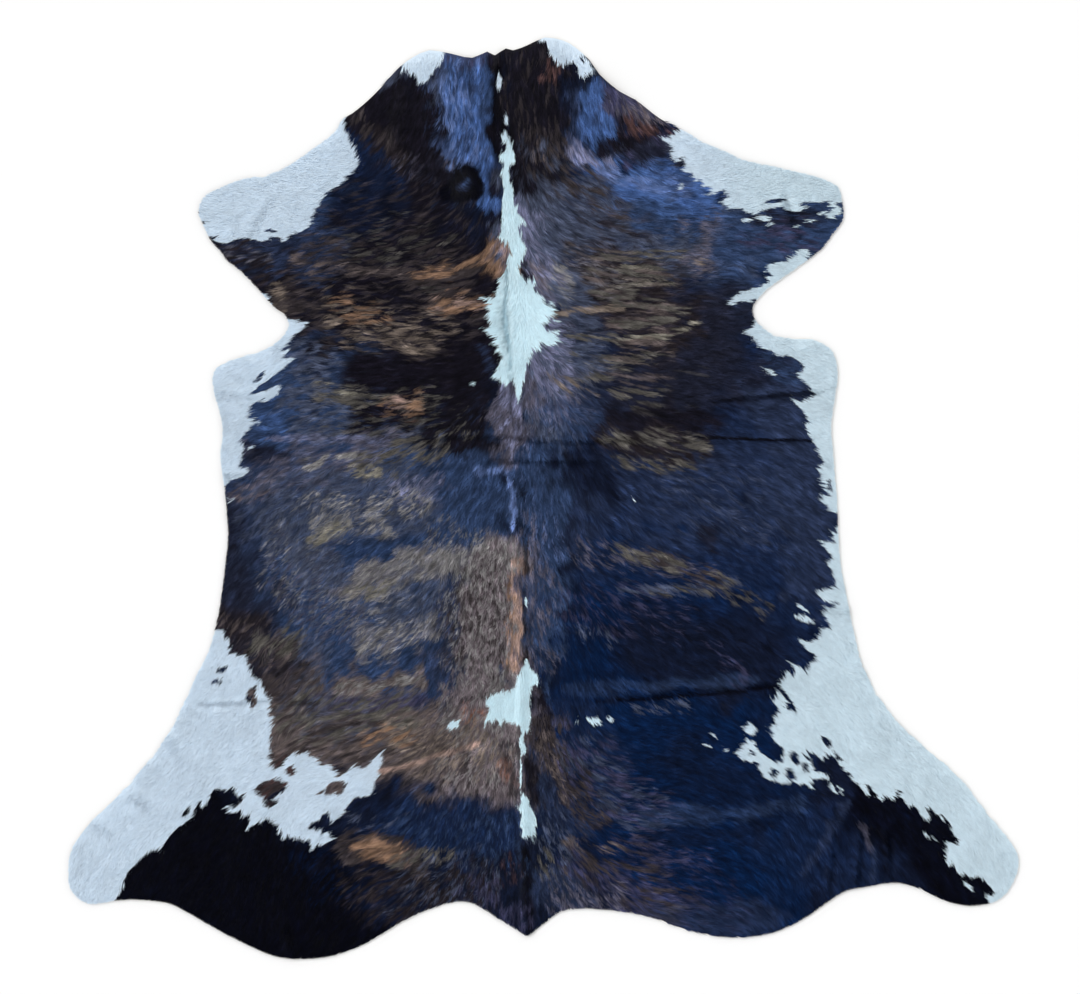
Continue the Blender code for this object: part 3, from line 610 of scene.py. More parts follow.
# Colours laid over each other from first to last: where, tone, path in centimetres, reach, cover, kind.
washes = [
    # the ground colours
    # Their blue is partly painted bluish sheen on black hair.
    ("right side", "navy", [(34, 62), (42, 10), (38, -20)], 42, 0.95, "wash"),
    ("right barrel", "dusk", [(14, -4), (34, 0), (56, 6)], 20, 0.5, "wash"),
    ("right rump", "deep sea", [(24, -40), (30, -56), (36, -82)], 34, 0.97, "wash"),
    ("right loin", "midnight", [(24, -31), (34, -35), (44, -34)], 13, 0.92, "wash"),
    ("left side", "steel", [(-46, 22), (-44, -36)], 34, 0.95, "wash"),
    ("left of the spine, ground", "steel", [(-18, 12), (-13, -14)], 11, 0.95, "wash"),
    ("left edge", "dusk", [(-66, 4), (-70, -24)], 12, 0.9, "wash"),
    ("left edge, dark", "ink", [(-71, -8), (-70, -20), (-62, -26)], 8, 0.8, "wash"),
    ("left shoulder", "soot", [(-60, 50), (-34, 48), (-14, 40)], 25, 0.98, "wash"),
    ("left ribs", "soot", [(-36, 20), (-18, 17)], 10, 0.92, "mottle"),
    ("left rump", "brown", [(-52, -50), (-32, -54), (-14, -58)], 15, 0.95, "mottle"),
    ("left of the spine", "mauve", [(-11, -15), (-12, -61)], 11, 0.97, "wash"),
    ("left hip", "jet", [(-84, -76), (-62, -88), (-46, -97)], 25, 1.0, "wash"),
    ("left tail side", "midnight", [(-30, -86), (-14, -86)], 12, 0.92, "wash"),
    ("left tail side, warm", "umber", [(-38, -86), (-26, -88), (-14, -86)], 8, 0.5, "leaf"),
    ("right hind leg", "navy", [(58, -76), (70, -84)], 13, 0.6, "wash"),
    ("right hind leg, black", "jet", [(74, -66), (84, -76), (96, -87)], 11, 0.85, "wash"),
    ("right ribs", "ink", [(16, 46), (30, 38), (24, 22)], 17, 0.95, "wash"),
    # the neck
    ("neck, left", "soot", [(-40, 84), (-29, 84), (-28, 68)], 14, 1.0, "wash"),
    ("neck, left navy", "navy", [(-41, 76), (-37, 71)], 5.5, 0.8, "mottle"),
    ("neck, left strands", "bark", [(-43, 84), (-37, 80.5), (-31, 76)], 2.4, 0.5, "leaf"),
    ("neck, left brown", "umber", [(-35, 79), (-29, 74), (-23, 71)], 5, 0.4, "leaf"),
    ("neck, left mauve", "grey violet", [(-30, 74.5), (-22, 72)], 3, 0.25, "leaf"),
    # Painted sheen: blue highlights along the folds left of the neck's spine, with darker and lighter flecks
    # in them.
    ("neck, bloom", "sheen blue", [(-17.9, 97), (-17.6, 86)], 7.4, 0.97, "mottle"),
    ("neck, bloom, low", "sheen blue", [(-17, 86), (-16, 78)], 6.6, 0.95, "mottle"),
    ("neck, bloom foot, blue", "sheen blue", [(-13.4, 80), (-12, 70), (-11.6, 65)], 3.1, 0.9, "mottle"),
    ("neck, bloom shade", "dusk", [(-18, 95), (-17, 72)], 9, 0.2, "fleck"),
    ("neck, bloom light", "pale sheen highlight", [(-20, 93), (-18, 74)], 5, 0.3, "fleck"),
    ("neck, bloom left", "slate", [(-23.8, 95), (-23.4, 87)], 2.0, 0.55, "mottle"),
    ("neck, bloom right", "steel", [(-12.8, 95), (-12, 80)], 1.8, 0.6, "mottle"),
    ("neck, bloom foot", "soot", [(-28, 78), (-24.6, 73.4), (-22.4, 71)], 3.6, 0.9, "wash"),
    ("neck, top", "violet", [(-23, 97.4), (-13, 97.2)], 2.4, 0.6, "mottle"),
    ("neck, by the spine", "jet", [(-10.4, 96), (-10.3, 84), (-9.8, 76)], 1.9, 1.0, "wash"),
    ("neck, black", "soot", [(-3, 100), (-2, 88), (-1, 74), (-2, 67)], 9.6, 1.0, "wash"),
    ("neck, brown strands", "bark", [(-6, 96), (0, 84)], 6, 0.12, "leaf"),
    ("neck, olive strands", "bark", [(-1, 77.4), (4, 76), (9, 74)], 4.0, 0.28, "leaf"),
    ("neck, tan strands", "brown", [(0, 76.6), (4, 76), (8, 74.6)], 3, 0.22, "leaf"),
    # Painted sheen: a blue highlight on the fold right of the neck's spine.
    ("neck, right bloom", "sheen blue", [(11.2, 88), (12.2, 78), (12.6, 74.4)], 4.9, 0.95, "mottle"),
    ("neck, right shade", "dusk", [(10.6, 88), (12, 78)], 5, 0.1, "fleck"),
    ("neck, right grey", "violet", [(15, 88.6), (22, 85)], 4.2, 0.9, "mottle"),
    ("neck, right light", "grey violet", [(15, 87), (20.6, 83)], 3.4, 0.42, "fleck"),
    ("neck, right mauve", "mauve", [(21, 85.5), (26, 82.4)], 2.6, 0.36, "fleck"),
    ("neck, right edge", "dusk", [(7, 88), (7.4, 80)], 2.4, 0.55, "mottle"),
    ("neck, rust", "rust", [(19, 80.4), (25, 79.4), (30, 78.6)], 3.2, 0.6, "leaf"),
    ("neck, rust brown", "soot", [(17, 80.6), (30, 78.4)], 4, 0.3, "leaf"),
    ("neck, rust speck", "rust", [(2, 95), (1, 93)], 1.8, 0.5, "fleck"),
    ("neck, right dark", "soot", [(13, 77.6), (20, 76), (26, 76)], 3.6, 0.95, "wash"),
    ("neck, right violet", "violet", [(19, 73.6), (26, 77)], 2.2, 0.7, "mottle"),
    ("neck, right corner", "ink", [(22, 75.4), (28, 73.2), (31, 70.6)], 3.0, 0.95, "wash"),
    # Painted sheen along the neck's edge.
    ("neck fringe", "slate", [(-36, 92), (-31, 95)], 2.6, 0.7, "mottle"),
    # the left shoulder
    ("left shoulder, blue", "steel", [(-49, 67), (-53, 61)], 6, 0.85, "wash"),
    ("left shoulder, navy", "midnight", [(-43, 67), (-38, 62)], 8, 0.8, "wash"),
    ("left shoulder, grey", "dusk", [(-64, 55), (-50, 54)], 8, 0.75, "mottle"),
    ("left shoulder, flecks", "bark", [(-42, 59), (-20, 58)], 8, 0.1, "leaf"),
    ("left shoulder, light flecks", "olive", [(-40, 54), (-26, 54)], 6, 0.07, "leaf"),
    ("left foreleg, brown", "umber", [(-68, 54), (-56, 47)], 5, 0.5, "band"),
    ("left foreleg, light", "ash", [(-69, 53.4), (-61, 52.6)], 1.4, 0.4, "leaf"),
    ("left shoulder, line", "brown", [(-54, 52), (-46, 50.4), (-38, 49.2), (-30, 49.8)], 1.4, 0.36, "leaf"),
    ("left shoulder, brindle", "bark", [(-50, 44), (-34, 43), (-16, 44)], 12, 0.34, "leaf"),
    ("left shoulder, dark band", "soot", [(-46, 48), (-32, 46.6)], 2.6, 0.5, "leaf"),
    ("left shoulder, tan", "tan", [(-46, 40.5), (-36, 38), (-24, 37)], 4.4, 0.22, "leaf"),
    ("left shoulder, copper", "copper", [(-44.5, 42), (-37, 39.6)], 2.8, 0.2, "leaf"),
    ("left shoulder, edge", "tan", [(-58.4, 46), (-57, 41)], 2.0, 0.7, "leaf"),
    ("left shoulder, elbow", "bark", [(-57, 43), (-51, 42)], 3.2, 0.5, "mottle"),
    ("left shoulder, low tan", "tan", [(-42, 34.6), (-24, 33.6)], 2.8, 0.14, "leaf"),
    ("withers, copper", "copper", [(-9.4, 54.2), (-9.8, 50.6)], 3.0, 0.95, "mottle"),
    ("withers, fawn", "fawn", [(-8.8, 53.8), (-9.8, 51)], 1.8, 0.4, "fleck"),
    ("withers, curve", "copper", [(-12, 53.4), (-17, 51.2), (-22, 49.6), (-28, 49.2)], 2.0, 0.55, "band"),
    ("withers, curve shade", "bark", [(-18, 48.4), (-26, 46.4)], 4, 0.55, "leaf"),
    ("withers, low streak", "copper", [(-22.6, 42.6), (-13, 42.2)], 2.4, 0.4, "leaf"),
    ("withers, low light", "fawn", [(-23, 42.8), (-14, 42.4)], 1.4, 0.18, "leaf"),
    ("withers, dark", "soot", [(-13, 47.2), (-10.6, 46)], 2.4, 0.7, "mottle"),
    ("left ribs, streak", "tan", [(-30, 31.6), (-20.5, 31.2)], 1.7, 0.65, "leaf"),
    ("left ribs, grey flecks", "slate", [(-46, 30.6), (-38, 29.4)], 2.6, 0.42, "leaf"),
    ("left ribs, black", "soot", [(-42, 27), (-26, 27), (-14, 31)], 5, 0.97, "wash"),
    ("left ribs, olive", "olive", [(-48, 23), (-38, 21.4), (-24, 21.4)], 2.6, 0.42, "leaf"),
    ("left ribs, straw", "straw", [(-48.6, 23.6), (-42, 22.2)], 1.8, 0.3, "leaf"),
    ("left ribs, copper", "fawn", [(-35, 20.6), (-29.8, 20.2)], 1.6, 0.26, "leaf"),
    ("left ribs, amber", "copper", [(-35.4, 20.2), (-29.6, 20)], 2.6, 0.3, "leaf"),
    ("left ribs, low olive", "olive", [(-46, 15), (-30, 15), (-18, 16)], 3.2, 0.16, "leaf"),
    # the right shoulder and ribs
    ("right shoulder, slate", "slate", [(3, 62), (16, 60), (42, 55)], 12, 0.76, "mottle"),
    ("right shoulder, shade", "umber", [(14, 62), (20, 58)], 7, 0.2, "leaf"),
    ("right shoulder, olive", "bark", [(1, 71), (10, 69), (20, 61)], 5, 0.3, "leaf"),
    # Painted sheen across the right shoulder, and a painted highlight along the ridge that runs from the
    # neck.
    ("right shoulder, bloom", "sheen blue", [(20, 67.6), (34, 64.4)], 5.4, 0.95, "mottle"),
    ("right shoulder, blue", "steel", [(23, 61), (32, 60)], 5, 0.75, "mottle"),
    ("right shoulder, ridge", "lilac", [(7, 76.5), (10, 74), (14, 72.4)], 2.2, 0.6, "mottle"),
    ("right shoulder, ridge end", "pale sheen highlight", [(13, 72.4), (20, 69.4), (31, 67.2)], 1.7, 0.55, "mottle"),
    ("right shoulder, smudge", "grey violet", [(35.6, 59), (35, 51)], 4.2, 0.66, "speck"),
    ("right shoulder, tan", "tan", [(34.6, 51.4), (35.4, 50.6)], 1.8, 0.3, "fleck"),
    ("right foreleg", "steel", [(44, 57), (56, 58), (66, 63)], 10, 0.9, "wash"),
    ("right foreleg, shade", "ink", [(47, 61.6), (60, 61.6)], 2.4, 0.7, "mottle"),
    ("right foreleg, streaks", "violet", [(43, 57.4), (58, 57)], 3.4, 0.3, "leaf"),
    ("right elbow", "steel", [(41, 50), (46, 44)], 6, 0.7, "wash"),
    ("right of the withers", "slate", [(-3.6, 62), (-1, 54), (4, 46)], 5.5, 0.85, "mottle"),
    ("right of the withers, lilac", "lilac", [(-4.4, 62), (-2, 53), (2, 46)], 3.8, 0.6, "speck"),
    ("right of the withers, edge", "lilac", [(-4.6, 66), (-3.6, 56)], 1.2, 0.5, "mottle"),
    ("right of the withers, mauve", "mauve", [(-2, 50.6), (1.4, 46.4)], 2.4, 0.45, "mottle"),
    ("right of the withers, sand", "sand", [(3, 50), (4.8, 44)], 2.6, 0.55, "fleck"),
    ("right ribs, slate", "slate", [(6, 46), (9, 38), (8, 29)], 7, 0.65, "mottle"),
    ("right ribs, haze", "umber", [(14, 47), (28, 38)], 11, 0.8, "mottle"),
    ("right ribs, low haze", "bark", [(12, 46), (26, 44)], 8, 0.3, "leaf"),
    ("right ribs, upper haze", "ash", [(8, 50), (14, 46)], 4, 0.28, "speck"),
    ("right ribs, line 1", "olive", [(11, 52.6), (20, 53), (31, 53.6)], 1.2, 0.36, "wave"),
    ("right ribs, line 2", "straw", [(18, 50), (24, 50.6), (28, 51.2)], 0.9, 0.34, "wave"),
    ("right ribs, line 3", "olive", [(8, 48.8), (16, 49.4), (26, 49.4)], 1.3, 0.42, "wave"),
    ("right ribs, line 4", "straw", [(14, 46.2), (22, 47), (28, 47.6)], 0.9, 0.42, "wave"),
    ("right ribs, line 5", "olive", [(9, 44.6), (20, 45)], 1.6, 0.55, "wave"),
    ("right ribs, line 6", "tan", [(2, 40.6), (9, 41.3), (17, 41.9)], 1.1, 0.75, "wave"),
    ("right ribs, line 7", "olive", [(16, 42), (25, 42.6), (31, 41)], 1.3, 0.55, "wave"),
    ("right ribs, line 8", "olive", [(16, 38), (24, 39), (30, 40)], 1.4, 0.55, "wave"),
    ("right ribs, line 9", "olive", [(5, 35), (16, 34.8)], 1.4, 0.55, "wave"),
    ("right ribs, line 10", "straw", [(17, 34.2), (25, 35.4), (34, 38)], 1.1, 0.6, "wave"),
    ("right ribs, copper", "tan", [(19.6, 34.2), (22.6, 34.2)], 1.2, 0.45, "leaf"),
    ("right ribs, line 11", "olive", [(4, 31), (14, 30.4), (28, 30.6)], 1.6, 0.45, "wave"),
    ("right ribs, line 12", "olive", [(8, 26.4), (18, 27.2)], 1.4, 0.4, "wave"),
    ("right ribs, line 13", "olive", [(29, 26.6), (36, 27.2)], 1.2, 0.4, "wave"),
    ("right ribs, line 14", "olive", [(15, 23), (26, 23)], 1.3, 0.4, "wave"),
    ("right ribs, line 15", "olive", [(20, 19.8), (34, 19.2)], 1.2, 0.4, "wave"),
    ("right ribs, strands", "brown", [(14, 48), (22, 42), (20, 34)], 8, 0.2, "wave"),
    ("right armpit", "ink", [(42, 42), (34, 24), (50, 27)], 9, 0.8, "wash"),
    ("right flank", "dusk", [(50, 19), (60, 12)], 8, 0.8, "wash"),
    ("right flank, upper", "steel", [(50, 30), (56, 26)], 3.4, 0.5, "mottle"),
    ("right of the back", "slate", [(1, 31), (2, 16)], 7, 0.9, "mottle"),
    ("right of the back, lilac", "lilac", [(-1, 38), (2.6, 20)], 6, 0.58, "speck"),
    ("right of the back, tan", "tan", [(3, 25.6), (9, 23.4)], 2.4, 0.2, "leaf"),
    ("right of the back, blue", "dusk", [(8, 18), (14, 17)], 5, 0.6, "mottle"),
    ("right of the back, low", "steel", [(0, 19), (6, 14)], 5, 0.5, "mottle"),
    ("right ribs, lowest", "soot", [(16, 16.6), (36, 16.6)], 4.6, 0.85, "wash"),
    # the flanks and the crease across the belly
    # Partly painted bluish sheen on the left flank.
    ("left flank, bloom", "steel", [(-59, 30), (-59, 14)], 7, 0.9, "wash"),
    ("left flank, sheen", "sheen blue", [(-60.6, 19), (-58, 14)], 3, 0.24, "mottle"),
    ("left flank, light", "slate", [(-53, 31), (-49, 17)], 6, 0.5, "fleck"),
    ("left flank, shade", "ink", [(-64, 9.6), (-57, 9.6)], 2.2, 0.8, "wash"),
    ("left flank, blue edge", "steel", [(-67.4, 7), (-64.6, 4.4)], 1.8, 0.7, "mottle"),
    # Painted highlight above the crease across the belly, and painted shade in it and in the right flank's
    # crease.
    ("belly, crease light", "lilac", [(-61, 13), (-34, 12.8)], 0.9, 0.42, "mottle"),
    ("belly, crease shade left", "soot", [(-34, 12.6), (-8, 11.4)], 1.5, 0.7, "mottle"),
    ("belly, crease shade", "jet", [(32, 13.3), (62, 12.4)], 0.6, 0.9, "wash"),
    ("right flank, crease shade", "jet", [(38, 21), (62, 23.4)], 0.6, 0.6, "wash"),
    # the left barrel
    ("left barrel, grey", "grey violet", [(-58, 5), (-46, 7), (-38, 9)], 6, 0.6, "mottle"),
    ("left barrel, mauve", "mauve", [(-67, 0.4), (-60, 2.6)], 2.2, 0.5, "mottle"),
    ("left barrel, slate", "slate", [(-54, -4), (-36, 0), (-28, -4)], 12, 0.75, "mottle"),
    ("left barrel, shade", "dusk", [(-56, -2), (-30, -4)], 10, 0.22, "speck"),
    ("left barrel, olive", "olive", [(-41, 8.4), (-22, 9.4)], 3.2, 0.4, "leaf"),
    ("left barrel, straw", "straw", [(-41, 6.4), (-35.6, 5.6)], 2.4, 0.5, "fleck"),
    ("left barrel, arc", "sand", [(-52, 7), (-46, 9), (-42, 9.4)], 1.2, 0.6, "leaf"),
    ("left barrel, pale", "lilac", [(-31, 2), (-22, 1)], 3.4, 0.42, "speck"),
    ("left barrel, row 1", "sand", [(-50, -1), (-46, -3)], 3.6, 0.34, "speck"),
    ("left barrel, row 2", "sand", [(-38, -1.6), (-26, -1)], 2.6, 0.42, "speck"),
    ("left barrel, row 3", "sand", [(-50, -5.4), (-38, -5.2), (-35, -7.4)], 2.6, 0.4, "speck"),
    ("left barrel, row 4", "straw", [(-51, -9), (-44, -7.6)], 1.9, 0.75, "fleck"),
    # Partly painted bluish sheen left of the back, with a paler painted sheen just below the crease across
    # it.
    ("left of the back", "steel", [(-17, 1), (-11, 0)], 8, 0.97, "wash"),
    ("left of the back, deep", "navy", [(-15, 4), (-12, -5)], 4, 0.12, "mottle"),
    ("left of the back, light", "pale sheen highlight", [(-15, 6), (-7.5, 6)], 1.3, 0.55, "mottle"),
    ("left barrel, band", "steel", [(-46, -11.6), (-30, -10.4), (-15, -8.4)], 2.8, 0.9, "wash"),
    ("left barrel, band shade", "navy", [(-47, -11.8), (-24, -10.2)], 2.2, 0.3, "mottle"),
    # the left loin
    ("left loin, row 1", "ash", [(-41, -16.8), (-21, -15)], 3.2, 0.85, "mottle"),
    ("left loin, row 1, sand", "sand", [(-40, -17), (-21, -14.6)], 3.0, 0.5, "speck"),
    ("left loin, row 2", "ash", [(-44, -20.8), (-33, -20)], 2.8, 0.75, "mottle"),
    ("left loin, row 2, straw", "straw", [(-43, -20.8), (-34, -20.2)], 2.2, 0.6, "speck"),
    ("left loin, middle", "slate", [(-34, -25), (-25, -22)], 5.5, 0.7, "mottle"),
    ("left loin, flecks", "sand", [(-54, -15), (-49, -20), (-38, -25)], 7, 0.12, "speck"),
    ("left loin, grey flecks", "grey violet", [(-52, -17), (-46, -28)], 7, 0.22, "speck"),
    ("left loin, upper", "slate", [(-53, -13.4), (-47, -17)], 5, 0.6, "mottle"),
    ("left loin, row 3", "ash", [(-40, -32.4), (-26, -29.4)], 3.6, 0.55, "mottle"),
    ("left loin, row 3, sand", "sand", [(-39.5, -32.6), (-34, -31), (-26, -29.4)], 3.4, 0.4, "speck"),
    ("left loin, row 4", "brown", [(-44, -43), (-36, -41), (-28.6, -39.8)], 3.3, 1.0, "mottle"),
    ("left loin, row 4, tan", "sand", [(-44, -43), (-36, -41), (-28.6, -39.8)], 2.4, 0.4, "speck"),
    ("left loin, slate", "slate", [(-57, -39), (-50, -35)], 6, 0.5, "mottle"),
    ("left loin, violet", "violet", [(-49, -44.8), (-38, -46), (-27, -44.4)], 2.2, 0.75, "wash"),
    # Painted shade in the left loin's crease.
    ("left loin, crease shade", "soot", [(-60, -44.4), (-51, -44.8)], 0.8, 0.6, "wash"),
    ("left loin, blue", "dusk", [(-24, -36), (-22, -42)], 3.6, 0.85, "mottle"),
    ("left loin, strip", "dusk", [(-20.6, -18), (-20.2, -40)], 3.0, 0.85, "mottle"),
    ("left edge, brown", "umber", [(-67, -30), (-59, -39)], 7, 0.85, "wash"),
    ("left edge, olive", "olive", [(-62, -32.6), (-55, -31)], 3, 0.45, "leaf"),
    ("left edge, flecks", "brown", [(-64, -32), (-56, -38)], 6, 0.14, "leaf"),
    ("left edge, low", "bark", [(-61, -42), (-53, -46)], 5, 0.85, "mottle"),
    # beside the spine
    ("left of the spine, light", "sand", [(-12, -14), (-13, -58)], 9, 0.3, "speck"),
    ("left of the spine, dark", "bark", [(-13, -20), (-15, -62)], 9, 0.32, "speck"),
    ("left of the spine, sand", "sand", [(-12, -11.4), (-18, -14)], 3.4, 0.36, "speck"),
    ("left of the spine, low", "sand", [(-11, -43), (-19, -46)], 5, 0.3, "speck"),
    ("left of the spine, smudge", "umber", [(-18.2, -45.2), (-15.8, -44.2)], 0.9, 0.8, "wash"),
    ("left of the spine, brown", "bark", [(-16, -51), (-12.8, -51.2)], 1.2, 0.6, "mottle"),
    ("left of the spine, foot", "mauve", [(-20, -42), (-15, -46), (-13, -58)], 4, 0.4, "speck"),
    ("left of the spine, warm", "chestnut", [(-16, -47.6), (-13.6, -48)], 2.4, 0.3, "speck"),
    ("spine, copper", "fawn", [(-6.0, -14), (-5.8, -24), (-5.9, -37)], 1.5, 0.95, "mottle"),
    ("spine, amber", "copper", [(-6.9, -18), (-6.7, -36)], 1.5, 0.25, "speck"),
    ("spine, pale", "sand", [(-7.4, -9.6), (-6.6, -16)], 1.8, 0.5, "fleck"),
    # Painted highlight on the lit left side of the spine's ridge.
    ("spine, blue light", "pale sheen highlight", [(-6.9, 6), (-6.6, -7)], 0.8, 0.7, "mottle"),
    ("spine, lilac", "grey violet", [(-7.6, 22), (-6.6, 10)], 5, 0.7, "mottle"),
    ("spine, lilac light", "lilac", [(-7, 17), (-6, 9)], 3, 0.4, "fleck"),
    ("spine, blaze foot", "lilac", [(-8.2, 24.4), (-6.4, 18.6)], 2.2, 0.6, "mottle"),
    ("left ribs, by the blaze", "dusk", [(-13, 32), (-11.6, 27)], 1.8, 0.5, "mottle"),
    ("spine, dark beside", "soot", [(-16, 10), (-12, 12)], 2.4, 0.3, "mottle"),
    # Painted shade along the spine, on the ridge's dark side.
    ("spine, shade", "jet", [(-4.6, 8), (-4.5, 0), (-4, -36)], 0.8, 0.8, "wash"),
    ("right of the spine", "steel", [(0, -3), (0, -31)], 6.5, 0.85, "mottle"),
    # A few flecks of painted sheen.
    ("right of the spine, light", "pale sheen highlight", [(-1, 2), (0, -12)], 5, 0.08, "fleck"),
    ("right of the spine, blue", "steel", [(-1, 8), (2, 0)], 5.5, 0.85, "mottle"),
    ("right of the spine, flecks", "grey violet", [(-2, -8), (0, -36)], 4, 0.3, "fleck"),
    ("right of the spine, loin", "steel", [(0, -37), (0, -44)], 2.4, 0.5, "mottle"),
    # the right barrel
    ("right barrel, black", "midnight", [(8, 6), (13, 3)], 6, 0.95, "wash"),
    ("right barrel, haze", "slate", [(32, 2), (52, -4)], 8, 0.14, "mottle"),
    ("right barrel, brown", "umber", [(14, 12), (32, 10)], 4, 0.8, "mottle"),
    ("right barrel, olive 1", "olive", [(14, 12.4), (34, 11.8)], 2.2, 0.48, "leaf"),
    ("right barrel, olive 2", "olive", [(17, 8), (32, 7)], 2.2, 0.36, "leaf"),
    ("right barrel, row 1", "grey violet", [(7, -12), (18, -14), (34, -16)], 3.0, 0.26, "fleck"),
    ("right barrel, row 1, sand", "olive", [(18, -12.8), (29, -14.8)], 2.6, 0.6, "leaf"),
    ("right barrel, row 1, brown", "bark", [(24, -14), (37, -17.4)], 3.2, 0.45, "leaf"),
    ("right barrel, row 2", "slate", [(18, -20), (30, -20.4), (42, -19)], 1.8, 0.3, "leaf"),
    ("right barrel, row 2, olive", "olive", [(24, -20.4), (38, -20)], 1.4, 0.26, "leaf"),
    ("right barrel, row 2, end", "olive", [(38, -17.6), (44, -22), (48, -25)], 2.2, 0.24, "fleck"),
    ("right barrel, row 3", "slate", [(8, -29), (14, -31)], 1.8, 0.36, "fleck"),
    ("right barrel, faint rows", "violet", [(6, -24), (28, -25)], 5, 0.12, "fleck"),
    ("right barrel, block", "ink", [(36, -7), (37.4, -11)], 2.4, 0.7, "mottle"),
    ("right barrel, edge", "dusk", [(56, 4), (62, -16)], 9, 0.7, "wash"),
    # the right loin and rump
    ("right loin, spot", "violet", [(38, -34), (42, -38)], 2.8, 0.25, "fleck"),
    # Painted highlight above the right loin's crease, and painted shade in it.
    ("right loin, light", "steel", [(6, -42), (30, -41.2), (46, -40)], 1.8, 0.4, "wash"),
    ("right loin, crease", "jet", [(12, -44.6), (30, -43.8), (52, -41.6)], 0.55, 0.8, "wash"),
    ("right loin, flecks", "slate", [(21, -46.4), (31, -45.6)], 1.8, 0.36, "fleck"),
    ("right rump, navy", "navy", [(8, -50), (14, -60)], 9, 0.75, "mottle"),
    ("right rump, deep", "midnight", [(32, -58), (46, -66)], 9, 0.45, "wash"),
    ("right tail side", "dusk", [(1, -60), (5, -70)], 8, 0.6, "mottle"),
    # Painted shadow that the ridge along the spine casts to its right.
    ("right tail side, dark", "soot", [(-1, -44), (-0.6, -52), (2, -58), (5, -64)], 2.4, 0.7, "mottle"),
    ("right tail side, shade", "soot", [(-3, -58), (-2, -66)], 1.6, 0.9, "wash"),
    ("right tail side, fan", "bark", [(0, -51), (2.6, -58), (6, -64), (11, -69)], 4.4, 0.44, "speck"),
    ("right tail side, tan", "brown", [(0, -53), (1.8, -60), (5, -65)], 2.0, 0.4, "speck"),
    ("right tail side, rows", "violet", [(8, -58), (17, -64), (21, -70)], 7, 0.3, "leaf"),
    ("right tail side, grey rows", "slate", [(9, -57), (16, -64), (20, -68)], 5, 0.16, "leaf"),
    ("right tail side, row", "brown", [(5, -75.6), (10, -77), (16, -76.8)], 1.3, 0.36, "leaf"),
    ("right tail side, low", "slate", [(0, -72), (4, -80)], 3.6, 0.28, "fleck"),
    ("right rump, mauve", "violet", [(8, -83), (18, -87), (30, -92)], 5.6, 0.5, "mottle"),
    ("right rump, tufts", "bark", [(9, -82), (20, -84), (28, -90)], 6, 0.3, "leaf"),
    ("right rump, violet", "violet", [(26, -82), (34, -82), (42, -92)], 4, 0.12, "mottle"),
    ("right rump, flecks", "violet", [(24, -78.4), (36, -79)], 3, 0.25, "fleck"),
    # Painted highlight and painted shade on the fold across the right rump.
    ("right rump, fold light", "steel", [(24, -70.4), (40, -69.6), (56, -67.6)], 2.4, 0.4, "wash"),
    ("right rump, fold dark", "midnight", [(24, -75), (46, -73.6)], 2.6, 0.4, "wash"),
    ("right rump, hem", "dusk", [(18, -95), (34, -95), (48, -92)], 5, 0.55, "wash"),
    ("tail, olive", "olive", [(0.5, -79), (3, -85)], 2.0, 0.3, "leaf"),
    ("tail, slate", "dusk", [(0, -86), (8, -88)], 5, 0.7, "mottle"),
    ("tail, right grey", "grey violet", [(5, -89), (14, -89)], 3.4, 0.42, "speck"),
    # Painted shade in the groove along the spine.
    ("tail, line", "jet", [(-4.2, -77), (-3.4, -95)], 1.3, 0.85, "wash"),
    # Painted highlights along the gathers of the right hind leg.
    ("right gathers, slate", "dusk", [(66, -67), (62, -75.4), (57, -82)], 1.5, 0.5, "wash"),
    ("right gathers, brown", "grey violet", [(70.6, -73), (71.4, -77)], 1.1, 0.4, "wash"),
    ("right gathers, blue", "dusk", [(71.8, -77), (72.6, -84)], 1.2, 0.5, "wash"),
    # the left rump
    ("left rump, grey", "slate", [(-54, -46), (-40, -50)], 6, 0.45, "mottle"),
    ("left rump, olive", "olive", [(-56, -50), (-44, -48), (-32, -48)], 6, 0.4, "leaf"),
    ("left rump, dark", "bark", [(-57, -48), (-44, -53), (-35, -57)], 8, 0.3, "leaf"),
    ("left rump, light", "tan", [(-30, -53), (-20, -55), (-12, -56)], 5, 0.4, "speck"),
    ("left rump, copper", "copper", [(-38.6, -53.8), (-34, -51.8), (-29, -52.8)], 1.8, 0.42, "leaf"),
    ("left rump, long streak", "fawn",
     [(-36, -60.4), (-30, -58.8), (-24, -56.8), (-14, -54)], 0.8, 0.6, "mottle"),
    ("left rump, short streak", "tan", [(-38, -64.8), (-31, -62.8), (-27, -61)], 0.9, 0.5, "mottle"),
    ("left rump, rust", "chestnut", [(-8.8, -59.6), (-7.2, -61.6)], 1.9, 0.5, "mottle"),
    ("spine, hind shade", "bark", [(-7, -56), (-6.4, -64)], 2.2, 0.45, "mottle"),
    ("left rump, black", "midnight", [(-47, -70), (-34, -67)], 6.4, 0.95, "wash"),
    ("left rump, blue", "navy", [(-33, -72), (-8, -73)], 7, 1.0, "wash"),
    ("left rump, sheen", "steel", [(-28, -72), (-7, -75)], 6, 0.22, "fleck"),
    ("left rump, slate flecks", "slate", [(-41, -71.4), (-33, -71.6)], 2.4, 0.22, "fleck"),
    ("left hip, teal", "deep sea", [(-50, -80), (-44, -85)], 6, 0.14, "mottle"),
    ("left hip, olive", "bark", [(-43, -77.6), (-34, -76), (-28, -79.6)], 3.4, 0.8, "leaf"),
    ("left hip, copper", "copper", [(-38.0, -77.4), (-33.0, -78.8)], 3.0, 0.8, "band"),
    ("left hip, row", "olive", [(-32, -80.2), (-22, -78.0)], 2.2, 0.42, "fleck"),
    ("left tail side, brown", "bark", [(-40, -84), (-26, -86)], 5, 0.1, "fleck"),
